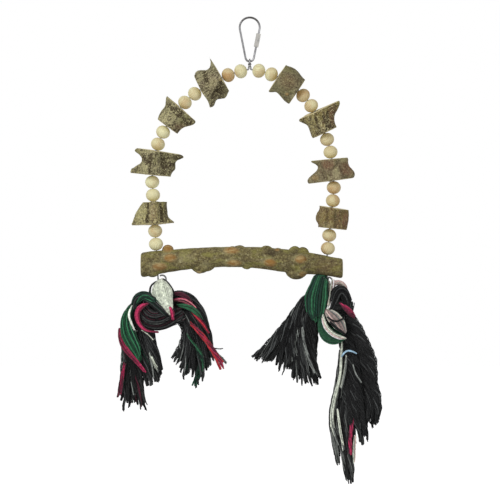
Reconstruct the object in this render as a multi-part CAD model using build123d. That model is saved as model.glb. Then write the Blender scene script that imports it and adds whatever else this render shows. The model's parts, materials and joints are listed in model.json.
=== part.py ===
from build123d import *
import math
import os
from typing import NamedTuple

# A bird swing: a wire arch strung with beads and branch slices over a branch perch.
# It hangs from a quick link, and a knotted rope hangs in the wire eye at each end.
# Millimetres. The origin is the centre of the quick link's top bend, +Z is up and
# +Y points away from the viewer. Bends are measured on the centreline of rod or wire.

# Quick link
LINK_ROD_D = 2.0
LINK_TOP_BEND_R = 10.0
LINK_BOTTOM_BEND_R = 4.2
LINK_BEND_SPACING = 29.8
GATE_START = 7.5
GATE_GAP = 6.0
NUT_START = 4.4
NUT_LENGTH = 13.5
NUT_ACROSS_FLATS = 4.6
NUT_CLEARANCE = 0.1
NUT_CHAMFER = 0.4

# Wire, its hanging eye and the twist under it
WIRE_D = 1.6
HANGING_CLEARANCE = 0.2
HANGING_EYE_ROOM = 1.0
TWIST_GAP = 0.4
TWIST_LENGTH = 4.2
TWIST_TURNS = 0.75
CROWN_DROP = 8.0
CROWN_RUN = 2.4

# Beads
BEAD_D = 14.2
BEAD_LENGTH = 13.0
BEAD_BORE_CLEARANCE = 1.4
BEAD_RIM_CHAMFER = 0.35
BEAD_PAIRS = 5
STACK_START = 1.7
BEAD_GAP = 0.1
CHUNK_GAP = 0.6
CHUNK_BORE_CLEARANCE = 2.4
CHUNK_LEVELS = 6

# Perch
PERCH_GIRTHS = (24.0, 22.6, 20.8, 20.2, 20.4, 21.8, 22.6, 20.6, 20.0)
PERCH_BOW = 7.0
PERCH_LEFT_OVERHANG = 16.5
PERCH_RIGHT_OVERHANG = 17.0
PERCH_HOLE_CLEARANCE = 0.6
PERCH_SEAT_GAP = 0.45
PERCH_END_ROUNDING = 2.5

# Wire eyes under the perch and the rope strand that passes through them
ROPE_STRAND_D = 4.0
ROPE_CLEARANCE = 0.35
ROPE_EYE_ROOM = 1.2
ROPE_EYE_SWEEP = 300.0
ROPE_EYE_DROP = 0.6


class Thorn(NamedTuple):
    """A thorn base on a branch slice: level 0 is the face towards the perch, 1 the other.

    The angle is about the wire, 0 in the plane of the arch, 90 at the back, 270 in front.
    """

    level: float
    angle: float
    reach: float
    spread: float = 24.0
    fade: float = 0.26


class Chunk(NamedTuple):
    """A sawn branch slice: saw angles tip its end faces about the slice's own x and y."""

    length: float
    girth: float
    thorns: tuple
    upper_saw: tuple = (0.0, 0.0)
    lower_saw: tuple = (0.0, 0.0)


class Knob(NamedTuple):
    """A thorn base on the perch: angle 0 is on top, 90 in front, 180 underneath."""

    distance: float
    angle: float
    height: float
    length: float
    width: float


class Side(NamedTuple):
    """One half of the arch: bends are radius and angle pairs, from the crown to the leg."""

    name: str
    sign: int
    heading: float
    bends: tuple
    chunks: tuple


LEFT_CHUNKS = (
    Chunk(24.3, 27.0, (
        Thorn(0.97, 180, 22.6, 16, 0.10), Thorn(0.28, 180, 17.3, 24, 0.24), Thorn(0.70, 8, 19.8, 24, 0.3),
        Thorn(0.08, 0, 21.0), Thorn(0.70, 285, 17.5), Thorn(0.15, 245, 17.0), Thorn(0.45, 80, 18.0),
    ), (3.0, 0.0), (0.0, 4.0)),
    Chunk(22.8, 24.6, (
        Thorn(0.84, 0, 20.8), Thorn(1.00, 180, 16.8, 22, 0.2), Thorn(0.55, 10, 15.6),
        Thorn(0.00, 180, 10.2, 30, 0.14), Thorn(0.20, 280, 16.0), Thorn(0.75, 240, 15.5),
        Thorn(0.30, 95, 17.0), Thorn(0.05, 350, 14.0),
    ), (4.0, 5.0), (0.0, 0.0)),
    Chunk(24.4, 26.0, (
        Thorn(0.90, 0, 27.5, 20, 0.26), Thorn(0.42, 5, 21.8, 26, 0.22), Thorn(0.02, 355, 19.0),
        Thorn(0.90, 180, 20.0, 22, 0.18), Thorn(0.56, 180, 11.2, 22, 0.16), Thorn(0.04, 180, 21.6, 20, 0.24),
        Thorn(0.75, 275, 17.0), Thorn(0.20, 250, 17.5), Thorn(0.55, 100, 18.5),
    ), (4.0, 0.0), (0.0, -3.0)),
    Chunk(21.8, 26.6, (
        Thorn(0.00, 180, 22.8, 26, 0.5), Thorn(0.55, 185, 15.6, 24, 0.24), Thorn(0.00, 0, 19.4, 22, 0.2),
        Thorn(1.00, 180, 9.0, 28, 0.12), Thorn(0.55, 270, 17.6, 20, 0.8), Thorn(0.70, 60, 17.0),
        Thorn(0.20, 115, 18.0),
    ), (0.0, 2.0), (-3.0, 0.0)),
)

RIGHT_CHUNKS = (
    Chunk(24.3, 27.4, (
        Thorn(0.58, 0, 15.8, 30, 0.3), Thorn(0.00, 0, 12.2, 30, 0.3), Thorn(0.94, 180, 17.8, 20, 0.14),
        Thorn(0.30, 185, 15.8), Thorn(0.00, 180, 16.0), Thorn(0.35, 290, 17.0),
        Thorn(0.85, 235, 16.5), Thorn(0.60, 95, 18.0),
    ), (3.0, 0.0), (0.0, 0.0)),
    Chunk(23.2, 25.4, (
        Thorn(0.94, 0, 26.0, 20, 0.38), Thorn(0.90, 180, 17.8, 22, 0.18), Thorn(0.20, 180, 13.4),
        Thorn(0.10, 270, 15.5), Thorn(0.70, 255, 16.0), Thorn(0.40, 75, 17.0), Thorn(0.85, 120, 18.0),
    ), (6.5, 0.0), (0.0, 0.0)),
    Chunk(21.6, 27.2, (
        Thorn(0.22, 0, 21.2, 26, 0.36), Thorn(0.97, 180, 21.2, 20, 0.16), Thorn(0.10, 180, 26.2, 20, 0.36),
        Thorn(0.90, 5, 15.6), Thorn(0.60, 265, 16.8), Thorn(0.15, 300, 17.0), Thorn(0.55, 90, 18.0),
    ), (3.0, 0.0), (0.0, -2.0)),
    Chunk(20.7, 27.6, (
        Thorn(0.50, 0, 17.6, 34, 0.9), Thorn(0.45, 180, 15.4), Thorn(0.88, 180, 12.2, 28, 0.16),
        Thorn(0.05, 180, 11.2, 28, 0.2), Thorn(0.75, 285, 16.6),
        Thorn(0.20, 235, 16.4), Thorn(0.35, 85, 17.0), Thorn(0.95, 130, 16.5),
    ), (3.0, 2.0), (0.0, 0.0)),
)

LEFT = Side("left", -1, 11.0, ((120.0, 48.0), (100.0, 34.5)), LEFT_CHUNKS)
RIGHT = Side("right", 1, 7.0, ((82.0, 52.0), (144.0, 37.0)), RIGHT_CHUNKS)

PERCH_KNOBS = (
    Knob(28.4, 345.0, 4.8, 12.0, 12.0), Knob(30.0, 80.0, 1.8, 13.0, 12.0),
    Knob(11.0, 150.0, 3.0, 17.0, 16.0), Knob(19.0, 112.0, 1.6, 14.0, 13.0),
    Knob(60.0, 178.0, 5.0, 21.0, 14.0), Knob(66.5, 190.0, 3.8, 16.0, 12.0),
    Knob(53.0, 300.0, 3.6, 18.0, 13.0), Knob(92.5, 38.0, 1.8, 15.0, 13.0),
    Knob(94.0, 112.0, 1.8, 15.0, 13.0), Knob(99.0, 350.0, 1.6, 18.0, 12.0),
    Knob(106.5, 180.0, 1.8, 12.0, 9.0), Knob(112.0, 262.0, 3.4, 20.0, 14.0),
    Knob(126.0, 0.0, 2.0, 16.0, 12.0), Knob(130.5, 96.0, 2.2, 16.0, 14.0),
    Knob(137.5, 35.0, 1.8, 14.0, 12.0), Knob(153.5, 8.0, 4.4, 13.0, 10.0),
    Knob(161.5, 352.0, 4.6, 13.0, 10.0), Knob(159.0, 66.0, 2.6, 15.0, 14.0),
    Knob(157.0, 178.0, 6.4, 22.0, 15.0), Knob(163.0, 140.0, 2.6, 15.0, 14.0),
    Knob(148.0, 240.0, 3.2, 18.0, 13.0),
)


class Slice(NamedTuple):
    """A level slice of a rope form: its place from the rope's hinge, its width and depth."""

    across: float
    drop: float
    width: float
    depth: float


class Rope(NamedTuple):
    """A knotted rope hung in a wire eye; places are measured from the eye's lowest point."""

    neck: tuple
    knot: tuple
    knot_d: float
    turn: tuple
    turn_d: float
    tails: tuple


LEFT_ROPE = Rope(
    neck=(Slice(0, 2.4, 5, 10.6), Slice(-1, 6, 17, 12), Slice(-1.5, 10, 21.5, 14),
          Slice(1.5, 18, 17, 15), Slice(2, 27, 12, 13)),
    knot=(-8.0, 0.0, 33.0), knot_d=31.0,
    turn=((-26, 0, 31), (-24, -5.5, 21.5), (-16, -10.5, 14.5), (-6, -13, 18), (3, -12, 26.5), (6, -4, 34)),
    turn_d=12.0,
    tails=(
        (Slice(-26, 21, 15, 12), Slice(-29, 38, 25, 15), Slice(-25, 56, 37, 17), Slice(-22, 74, 41, 18),
         Slice(-24, 92, 40, 18), Slice(-32, 108, 32, 16), Slice(-31.5, 120, 24, 12)),
        (Slice(12, 7.5, 20, 10), Slice(24, 19, 24, 14), Slice(28, 34, 26, 15), Slice(32.5, 50, 30, 16),
         Slice(32.5, 66, 39, 17), Slice(32.5, 80, 50, 17), Slice(35, 92, 37, 15), Slice(32, 102, 18, 10)),
    ),
)

RIGHT_ROPE = Rope(
    neck=(Slice(0, 2.4, 5, 10.6), Slice(0, 5, 28, 13), Slice(-1, 12, 40, 16), Slice(0, 24, 34, 20),
          Slice(2, 34, 24, 20)),
    knot=(3.0, 0.0, 41.0), knot_d=32.0,
    turn=((14, -2, 10), (19, -8, 17), (17, -13, 26), (8, -15.5, 33), (-3, -14, 38), (-10, -6, 40)),
    turn_d=11.0,
    tails=(
        (Slice(-12, 10, 20, 13), Slice(-20, 24, 35, 15), Slice(-30, 44, 45, 17), Slice(-36.5, 59, 52, 18),
         Slice(-42, 72, 64, 17), Slice(-33.5, 82, 52, 15), Slice(-21, 94, 33, 11)),
        (Slice(14, 14, 16, 12), Slice(18, 29, 19, 15), Slice(24, 44, 23, 16), Slice(27.5, 59, 30, 17),
         Slice(29.5, 74, 38, 18), Slice(29.5, 92, 42, 18), Slice(29.5, 109, 49, 19), Slice(27.5, 126, 49, 18),
         Slice(25.5, 140, 47, 17), Slice(17.5, 154, 24, 14), Slice(18.5, 174, 20, 12),
         Slice(22.5, 193, 10, 8)),
    ),
)

# Sizes that follow from the ones above
ROD_R = LINK_ROD_D / 2
WIRE_R = WIRE_D / 2
LINK_LEAN = math.asin((LINK_TOP_BEND_R - LINK_BOTTOM_BEND_R) / LINK_BEND_SPACING)
LINK_LEG = LINK_BEND_SPACING * math.cos(LINK_LEAN)
LINK_LOWEST = -LINK_BEND_SPACING - LINK_BOTTOM_BEND_R
HANGING_EYE_R = ROD_R + HANGING_EYE_ROOM + WIRE_R
HANGING_EYE_TOP = LINK_LOWEST + ROD_R + HANGING_CLEARANCE + WIRE_R
TWIST_R = WIRE_R + TWIST_GAP / 2
CROWN_Z = LINK_LOWEST - CROWN_DROP
BEAD_BORE = WIRE_D + BEAD_BORE_CLEARANCE
CHUNK_BORE = WIRE_D + CHUNK_BORE_CLEARANCE
PERCH_HOLE = WIRE_D + PERCH_HOLE_CLEARANCE
ROPE_STRAND_R = ROPE_STRAND_D / 2
ROPE_EYE_R = ROPE_STRAND_R + ROPE_EYE_ROOM + WIRE_R
BIGHT_R = WIRE_R + ROPE_CLEARANCE + ROPE_STRAND_R


def flat(x, z):
    """A point in the plane of the arch."""
    return Vector(x, 0, z)


def tube(path, diameter):
    """A round rod along a path."""
    return sweep(Plane(origin=path @ 0, z_dir=path % 0) * Circle(diameter / 2), path=path)


def rounded_path(points):
    """Straight runs through the points, each corner rounded as far as its runs allow."""
    points = [Vector(p) for p in points]
    radii = []
    for before, corner, after in zip(points, points[1:], points[2:]):
        inward = corner - before
        outward = after - corner
        half_turn = math.radians(inward.get_angle(outward)) / 2
        radii.append(0.45 * min(inward.length, outward.length) / math.tan(half_turn))
    return FilletPolyline(points, radius=radii)


def link_leg_point(distance):
    """A point on the right leg of the link, measured down from the top bend."""
    top = Vector(math.cos(LINK_LEAN), 0, -math.sin(LINK_LEAN)) * LINK_TOP_BEND_R
    return top + link_leg_direction() * distance


def link_leg_direction():
    return Vector(-math.sin(LINK_LEAN), 0, -math.cos(LINK_LEAN))


def mirrored(point):
    return Vector(-point.X, point.Y, point.Z)


def quick_link():
    """The rod of the link, from the lower gate end round both bends to the upper one."""
    lower_gate = link_leg_point(GATE_START + GATE_GAP)
    upper_gate = link_leg_point(GATE_START)
    leg_top = link_leg_point(0)
    leg_bottom = link_leg_point(LINK_LEG)
    path = Wire([
        Line(lower_gate, leg_bottom),
        ThreePointArc(leg_bottom, flat(0, LINK_LOWEST), mirrored(leg_bottom)),
        Line(mirrored(leg_bottom), mirrored(leg_top)),
        ThreePointArc(mirrored(leg_top), flat(0, LINK_TOP_BEND_R), leg_top),
        Line(leg_top, upper_gate),
    ])
    return tube(path, LINK_ROD_D)


def link_nut():
    """The hexagonal sleeve across the gate, its corners turned down at both ends."""
    bore = LINK_ROD_D + 2 * NUT_CLEARANCE
    corner_r = NUT_ACROSS_FLATS / math.sqrt(3)
    blank = extrude(RegularPolygon(NUT_ACROSS_FLATS / 2, 6, major_radius=False), NUT_LENGTH)
    turned = Pos(0, 0, NUT_LENGTH / 2) * Cylinder(corner_r, NUT_LENGTH)
    turned = chamfer(turned.edges().filter_by(GeomType.CIRCLE), NUT_CHAMFER)
    hole = Pos(0, 0, NUT_LENGTH / 2) * Cylinder(bore / 2, 2 * NUT_LENGTH)
    seat = Plane(origin=link_leg_point(NUT_START), x_dir=(0, 1, 0), z_dir=link_leg_direction())
    return seat * ((blank & turned) - hole)


def arch_point(side, distance):
    """A point on the wire and its heading below the horizontal, measured from the crown."""
    heading = math.radians(side.heading)
    run = min(distance, CROWN_RUN)
    x = TWIST_R + run * math.cos(heading)
    z = CROWN_Z - run * math.sin(heading)
    left_over = distance - run
    for radius, angle in side.bends:
        run = min(left_over, radius * math.radians(angle))
        turned = heading + run / radius
        x += radius * (math.sin(turned) - math.sin(heading))
        z += radius * (math.cos(turned) - math.cos(heading))
        heading = turned
        left_over -= run
    x += left_over * math.cos(heading)
    z -= left_over * math.sin(heading)
    return flat(side.sign * x, z), heading


def arch_direction(side, heading):
    """The way the wire runs at a heading, away from the crown."""
    return flat(side.sign * math.cos(heading), -math.sin(heading))


def stack(side):
    """The beads and branch slices of one half: name, start on the wire and length."""
    places = []
    distance = STACK_START
    for pair in range(BEAD_PAIRS):
        for bead in range(2):
            number = 2 * pair + bead + 1
            places.append((f"{side.name}_bead_{number:02d}", distance, BEAD_LENGTH))
            distance += BEAD_LENGTH + BEAD_GAP
        distance -= BEAD_GAP
        if pair < len(side.chunks):
            distance += CHUNK_GAP
            length = side.chunks[pair].length
            places.append((f"{side.name}_chunk_{pair + 1}", distance, length))
            distance += length + CHUNK_GAP
    return places, distance


def seat_on_wire(side, start, length):
    """The frame of a strung piece: z along its bore to the crown, x in the arch's plane."""
    near, _ = arch_point(side, start)
    middle, _ = arch_point(side, start + length / 2)
    far, _ = arch_point(side, start + length)
    axis = (near - far).normalized()
    centre = (near + far) / 4 + middle / 2
    return Plane(origin=centre, x_dir=(axis.Z, 0, -axis.X), z_dir=axis)


def bead():
    """A turned bead, a little shorter than it is wide, with a drilled bore and eased rims."""
    outside_bore = Pos((BEAD_BORE + BEAD_D) / 2, 0) * Rectangle(BEAD_D, 2 * BEAD_LENGTH)
    profile = Ellipse(BEAD_D / 2, BEAD_LENGTH / 2) & outside_bore
    ball = revolve(Plane.XZ * profile, Axis.Z)
    rims = ball.edges().filter_by(GeomType.CIRCLE).group_by(SortBy.RADIUS)[0]
    return chamfer(rims, BEAD_RIM_CHAMFER)


def chunk_outline(chunk, level):
    """The outline of a branch slice at a level, swollen where its thorn bases stand."""
    steps = 28
    points = []
    for step in range(steps):
        angle = 360 * step / steps
        radius = chunk.girth / 2
        for thorn in chunk.thorns:
            turn = (angle - thorn.angle + 180) % 360 - 180
            near_angle = math.exp(-(turn / thorn.spread) ** 2)
            near_level = math.exp(-((level - thorn.level) / thorn.fade) ** 2)
            radius += (thorn.reach - chunk.girth / 2) * near_angle * near_level
        points.append((radius * math.cos(math.radians(angle)), radius * math.sin(math.radians(angle))))
    return make_face(Spline(points, periodic=True))


def chunk_solid(chunk):
    """A branch slice, lofted from saw cut to saw cut and drilled along the pith."""
    sections = []
    for step in range(CHUNK_LEVELS + 1):
        level = step / CHUNK_LEVELS
        tip = {0.0: chunk.lower_saw, 1.0: chunk.upper_saw}.get(level, (0.0, 0.0))
        place = Pos(0, 0, (level - 0.5) * chunk.length) * Rot(tip[0], tip[1], 0)
        sections.append(place * chunk_outline(chunk, level))
    return loft(sections) - Cylinder(CHUNK_BORE / 2, 2 * chunk.length)


def perch_girth(share):
    """The perch's radius at a share of its length, between its measured girths."""
    place = share * (len(PERCH_GIRTHS) - 1)
    index = min(int(place), len(PERCH_GIRTHS) - 2)
    blend = place - index
    return ((1 - blend) * PERCH_GIRTHS[index] + blend * PERCH_GIRTHS[index + 1]) / 2


def wire_at_perch(side):
    """Where the wire meets the top of the perch and the way it runs there."""
    _, end = stack(side)
    point, heading = arch_point(side, end + PERCH_SEAT_GAP)
    return point, arch_direction(side, heading)


class PerchAxis:
    """The bowed line through the perch, measured along it from the left end."""

    def __init__(self):
        left_top, left_way = wire_at_perch(LEFT)
        right_top, right_way = wire_at_perch(RIGHT)
        span = (right_top - left_top).length
        length = PERCH_LEFT_OVERHANG + span + PERCH_RIGHT_OVERHANG
        self.left_radius = perch_girth(PERCH_LEFT_OVERHANG / length)
        self.right_radius = perch_girth(1 - PERCH_RIGHT_OVERHANG / length)
        left = left_top + left_way * self.left_radius
        right = right_top + right_way * self.right_radius
        chord = right - left
        self.radius = (chord.length ** 2 / 4 + PERCH_BOW ** 2) / (2 * PERCH_BOW)
        self.along = chord.normalized()
        self.upward = flat(-self.along.Z, self.along.X)
        self.centre = (left + right) / 2 + self.upward * (PERCH_BOW - self.radius)
        self.half_angle = math.asin(chord.length / 2 / self.radius)
        self.start_angle = -self.half_angle - PERCH_LEFT_OVERHANG / self.radius
        self.length = 2 * self.half_angle * self.radius + PERCH_LEFT_OVERHANG + PERCH_RIGHT_OVERHANG

    def frame(self, distance):
        """z runs along the perch to the right, x points up and y to the viewer."""
        angle = self.start_angle + distance / self.radius
        outward = self.along * math.sin(angle) + self.upward * math.cos(angle)
        tangent = self.along * math.cos(angle) - self.upward * math.sin(angle)
        return Plane(origin=self.centre + outward * self.radius, x_dir=outward, z_dir=tangent)


def knob_solid(knob):
    """A spindle-shaped swelling about the z axis, as long and as wide as its knob."""
    half = knob.length / 2
    bulge = Line((0, -half), (0, half)) + ThreePointArc((0, half), (knob.width / 2, 0), (0, -half))
    return revolve(Plane.XZ * make_face(bulge), Axis.Z)


def perch(axis):
    """The branch, cut upright and eased at both ends, its thorn bases and its two wire holes."""
    sections = []
    for index, girth in enumerate(PERCH_GIRTHS):
        frame = axis.frame(axis.length * index / (len(PERCH_GIRTHS) - 1))
        if index in (0, len(PERCH_GIRTHS) - 1):
            frame = Plane(origin=frame.origin, x_dir=(0, 0, 1), z_dir=(1, 0, 0))
        sections.append(frame * Circle(girth / 2))
    branch = loft(sections)
    branch = fillet(branch.faces().filter_by(Axis.X).edges(), PERCH_END_ROUNDING)
    for knob in PERCH_KNOBS:
        surface = perch_girth(knob.distance / axis.length) + knob.height
        place = axis.frame(knob.distance) * Rot(0, 0, knob.angle) * Pos(surface - knob.width / 2, 0, 0)
        branch += place * knob_solid(knob)
    for side, radius in ((LEFT, axis.left_radius), (RIGHT, axis.right_radius)):
        top, way = wire_at_perch(side)
        drill = Plane(origin=top + way * radius, z_dir=way)
        branch -= drill * Cylinder(PERCH_HOLE / 2, 6 * radius)
    return branch


def rope_eye(side, axis):
    """The start, centre and lowest point of the wire eye under the perch."""
    top, way = wire_at_perch(side)
    radius = axis.left_radius if side is LEFT else axis.right_radius
    start = top + way * (2 * radius + ROPE_EYE_DROP + WIRE_R + ROPE_EYE_R)
    centre = start + flat(-way.Z, way.X) * ROPE_EYE_R
    return start, centre, centre - flat(0, ROPE_EYE_R)


def half_arch_edges(side, axis):
    """The wire of one half, from the crown out along the arch, down and round its end eye."""
    edges = []
    distance = CROWN_RUN
    for radius, angle in side.bends:
        length = radius * math.radians(angle)
        stops = [arch_point(side, distance + share * length)[0] for share in (0, 0.5, 1)]
        edges.append(ThreePointArc(*stops))
        distance += length
    leg_top, _ = arch_point(side, distance)
    start, centre, _ = rope_eye(side, axis)
    edges.append(Line(leg_top, start))
    spoke = start - centre
    stops = [centre + spoke.rotate(Axis.Y, -ROPE_EYE_SWEEP * share / 4) for share in range(5)]
    edges.append(ThreePointArc(*stops[:3]))
    edges.append(ThreePointArc(*stops[2:]))
    return edges


def crown_path():
    """The wire between the two halves: up one strand of the twist, round the eye and down."""
    twist_bottom = CROWN_Z + CROWN_RUN
    eye_centre = HANGING_EYE_TOP - HANGING_EYE_R
    corner_r = HANGING_EYE_R / math.cos(math.radians(22.5))
    steps = 6
    right_strand = []
    for step in range(steps + 1):
        angle = 2 * math.pi * TWIST_TURNS * step / steps
        height = twist_bottom + TWIST_LENGTH * step / steps
        right_strand.append(Vector(TWIST_R * math.cos(angle), TWIST_R * math.sin(angle), height))
    for angle in (67.5, 112.5, 157.5):
        across = corner_r * math.sin(math.radians(angle))
        right_strand.append(Vector(0, -across, eye_centre - corner_r * math.cos(math.radians(angle))))
    left_strand = [Vector(-p.X, -p.Y, p.Z) for p in right_strand]
    ends = []
    for side in (RIGHT, LEFT):
        ends.append((arch_point(side, CROWN_RUN)[0], arch_point(side, 0)[0]))
    points = [*ends[0], *right_strand, *reversed(left_strand), *reversed(ends[1])]
    return rounded_path(points)


def arch_wire(axis):
    """The one bent wire of the swing."""
    edges = half_arch_edges(LEFT, axis) + half_arch_edges(RIGHT, axis)
    path = Wire([*edges, *crown_path().edges()])
    return tube(path, WIRE_D)


def rope_slices(slices, hinge):
    """A rope form between level oval slices, with straight sides from each to the next."""
    sections = []
    for part in slices:
        place = hinge + flat(part.across, -part.drop)
        sections.append(Plane(origin=place) * Ellipse(part.width / 2, part.depth / 2))
    return loft(sections, ruled=True)


def rope_solid(rope, hinge):
    """The strand through the eye, the neck, the knot, the tails and the knot's crossing turn."""
    leg_end = rope.neck[1].drop
    bight = Wire([
        Line((0, -BIGHT_R, -leg_end), (0, -BIGHT_R, 0)),
        ThreePointArc((0, -BIGHT_R, 0), (0, 0, BIGHT_R), (0, BIGHT_R, 0)),
        Line((0, BIGHT_R, 0), (0, BIGHT_R, -leg_end)),
    ])
    place = Pos(hinge)
    solid = place * tube(bight, ROPE_STRAND_D)
    solid += rope_slices(rope.neck, hinge)
    across, depth, drop = rope.knot
    solid += place * Pos(across, depth, -drop) * Sphere(rope.knot_d / 2)
    for tail in rope.tails:
        solid += rope_slices(tail, hinge)
    turn = rounded_path([(x, y, -z) for x, y, z in rope.turn])
    return solid + place * tube(turn, rope.turn_d)


def pieces():
    """Every piece of the swing by its name."""
    axis = PerchAxis()
    named = {
        "quick_link": quick_link(),
        "link_nut": link_nut(),
        "arch_wire": arch_wire(axis),
        "perch": perch(axis),
        "left_rope": rope_solid(LEFT_ROPE, rope_eye(LEFT, axis)[2]),
        "right_rope": rope_solid(RIGHT_ROPE, rope_eye(RIGHT, axis)[2]),
    }
    turned_bead = bead()
    for side in (LEFT, RIGHT):
        slices = iter(side.chunks)
        for name, start, length in stack(side)[0]:
            solid = chunk_solid(next(slices)) if "chunk" in name else turned_bead
            named[name] = seat_on_wire(side, start, length) * solid
    return named


if __name__ == "__main__":
    os.makedirs("parts", exist_ok=True)
    for name, solid in pieces().items():
        solid.label = name
        export_step(solid, f"parts/{name}.step")
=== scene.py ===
"""Bird swing: a wire arch strung with beads and branch slices, a perch and two knotted rope tassels."""
import json
import math
from functools import partial
from typing import NamedTuple

import bpy
import numpy as np
from bpy.props import FloatProperty, FloatVectorProperty, IntProperty, PointerProperty
from mathutils import Color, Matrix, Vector

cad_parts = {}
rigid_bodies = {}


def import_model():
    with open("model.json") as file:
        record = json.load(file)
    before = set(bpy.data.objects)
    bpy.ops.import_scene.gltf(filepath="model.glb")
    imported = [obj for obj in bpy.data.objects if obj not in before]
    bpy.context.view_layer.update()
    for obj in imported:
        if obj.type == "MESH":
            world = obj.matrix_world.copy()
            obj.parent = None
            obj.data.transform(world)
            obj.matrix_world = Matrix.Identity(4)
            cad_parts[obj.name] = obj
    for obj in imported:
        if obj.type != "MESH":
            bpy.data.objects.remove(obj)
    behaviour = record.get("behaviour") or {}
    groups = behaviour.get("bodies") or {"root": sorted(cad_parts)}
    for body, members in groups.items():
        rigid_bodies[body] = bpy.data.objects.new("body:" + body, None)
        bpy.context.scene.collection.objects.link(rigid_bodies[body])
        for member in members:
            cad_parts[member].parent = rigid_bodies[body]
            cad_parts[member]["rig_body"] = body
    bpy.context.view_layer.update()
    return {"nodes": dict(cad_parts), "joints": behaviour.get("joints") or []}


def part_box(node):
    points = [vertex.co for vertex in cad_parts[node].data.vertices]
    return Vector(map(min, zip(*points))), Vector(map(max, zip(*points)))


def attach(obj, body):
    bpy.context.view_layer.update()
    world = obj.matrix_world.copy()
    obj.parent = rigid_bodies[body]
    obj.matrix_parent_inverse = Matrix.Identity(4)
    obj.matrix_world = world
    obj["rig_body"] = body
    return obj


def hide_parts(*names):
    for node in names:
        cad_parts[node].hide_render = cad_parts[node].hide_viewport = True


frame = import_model()

bl_info = {
    "name": "Bird swing",
    "version": (1, 0, 0),
    "blender": (4, 5, 0),
    "location": "3D View > Sidebar > Swing",
    "description": "Dresses the packed bird swing with wood, bark, steel and cotton rope",
    "category": "Object",
}

MM = 0.001
JOINTS = {joint["child"]: joint for joint in frame["joints"]}
NODES = frame["nodes"]
GOLDEN_ANGLE = math.pi * (3 - math.sqrt(5))
WHITE = (1.0, 1.0, 1.0)
AWAY = Vector((0, 1, 0))
ALONG_PERCH = Vector((1, 0, 0))

# Rope and bark places are drawn in millimetres on a sheet: u to the right, v down, depth away from the viewer
SHEET_U = 249.7
SHEET_V = 27.5
SHEET_MIDDLE = 250.0


def spot(u, v, depth=0.0):
    """A place on the drawing sheet, in metres."""
    return Vector(((u - SHEET_U) * MM, depth * MM, (SHEET_V - v) * MM))


def tone(*levels):
    """A colour of the usual 0 to 255 scale as scene-linear values."""
    return tuple(Color([level / 255 for level in levels]).from_srgb_to_scene_linear())


def colour(name, description, *levels):
    """A colour property with its default on the 0 to 255 scale."""
    return FloatVectorProperty(name=name, description=description, subtype="COLOR", size=3, min=0, max=1,
                               default=tone(*levels))


def size(name, description, millimetres):
    """A length property with its default in millimetres."""
    return FloatProperty(name=name, description=description, subtype="DISTANCE", unit="LENGTH",
                         precision=5, default=millimetres * MM)


def place(name, description, *metres):
    """A place property with its default in metres."""
    return FloatVectorProperty(name=name, description=description, subtype="TRANSLATION", unit="LENGTH",
                               size=3, default=metres)


class SwingSteel(bpy.types.PropertyGroup):
    """Values of the quick link, its nut and the arch wire"""

    link_colour: colour("Link steel", "Plated steel of the quick link", 134, 134, 136)
    nut_colour: colour("Nut steel", "Brighter plating of the sleeve nut", 152, 150, 145)
    wire_colour: colour("Wire steel", "Drawn wire of the arch", 132, 132, 134)
    stain_colour: colour("Steel stain", "Grime in the scratches of the steel", 70, 68, 66)
    # How much darker the link's top bend is, towards the stain colour
    top_darkening: FloatProperty(name="Tarnish", description="Darkening of the link's top bend", subtype="FACTOR",
                           default=0.75)
    top_darkening_height: size("Tarnish height", "Height over the middle of the top bend where it is full", 9)
    crease_angle: FloatProperty(name="Crease angle", description="Edges sharper than this stay crisp",
                                subtype="ANGLE", default=math.radians(32))


class SwingBeads(bpy.types.PropertyGroup):
    """Values of the wooden beads"""

    pale_colour: colour("Pale wood", "Early wood of the beads", 228, 227, 184)
    # The warm wood is also the colour that a bead's painted shade darkens towards
    warm_colour: colour("Warm wood", "Late wood of the beads", 176, 132, 78)
    rim: size("Rim", "Rounded edge of the drilled hole", 0.35)
    bore: size("Bore", "Radius of the drilled hole", 1.5)
    ring_pitch: size("Ring pitch", "Distance between growth rings", 1.5)
    grain_shift: size("Grain shift", "How far apart in the wood two beads may be cut", 50)
    crease_angle: FloatProperty(name="Crease angle", description="Edges sharper than this stay crisp",
                                subtype="ANGLE", default=math.radians(50))


class SwingBark(bpy.types.PropertyGroup):
    """Values of the branch slices and the perch"""

    slice_step: size("Slice mesh step", "Edge length of the mesh of a branch slice", 0.45)
    perch_step: size("Perch mesh step", "Edge length of the mesh of the perch", 0.55)
    relief: size("Relief", "Height of the bark's plates over its fissures", 0.75)
    scar_rise: size("Scar rise", "Height of a thorn's scar over the bark round it", 1.0)
    thin: size("Thin", "Where the wood is thinner than this, as in a thorn's tip, it has no bark relief", 1.2)
    thick: size("Thick", "Where the wood is thicker than this, it has the full bark relief", 5.0)
    ring_pitch: size("Ring pitch", "Distance between growth rings on the sawn faces", 1.3)
    ring_wobble: size("Ring wobble", "How far a growth ring strays", 1.6)
    bark_colour: colour("Bark", "Olive brown bark", 164, 152, 100)
    # The fissure colour is also what the painted shade of the shade patches and grooves darkens to
    fissure_and_shade_colour: colour("Fissure", "Dark bark in the cracks", 64, 53, 38)
    lichen_colour: colour("Lichen", "Pale flecks on the bark", 204, 196, 150)
    rust_colour: colour("Red bark", "Worn reddish bark", 120, 84, 64)
    moss_colour: colour("Moss", "Green film on the bark", 140, 136, 70)
    scar_colour: colour("Scar", "Wood bared where a thorn was cut off", 148, 107, 54)
    grey_colour: colour("Grey bark", "Weathered grey bark", 150, 148, 128)
    grain_colour: colour("End grain", "Sawn faces", 224, 214, 172)
    ring_colour: colour("Growth ring", "Late wood on the sawn faces", 186, 164, 116)


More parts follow.
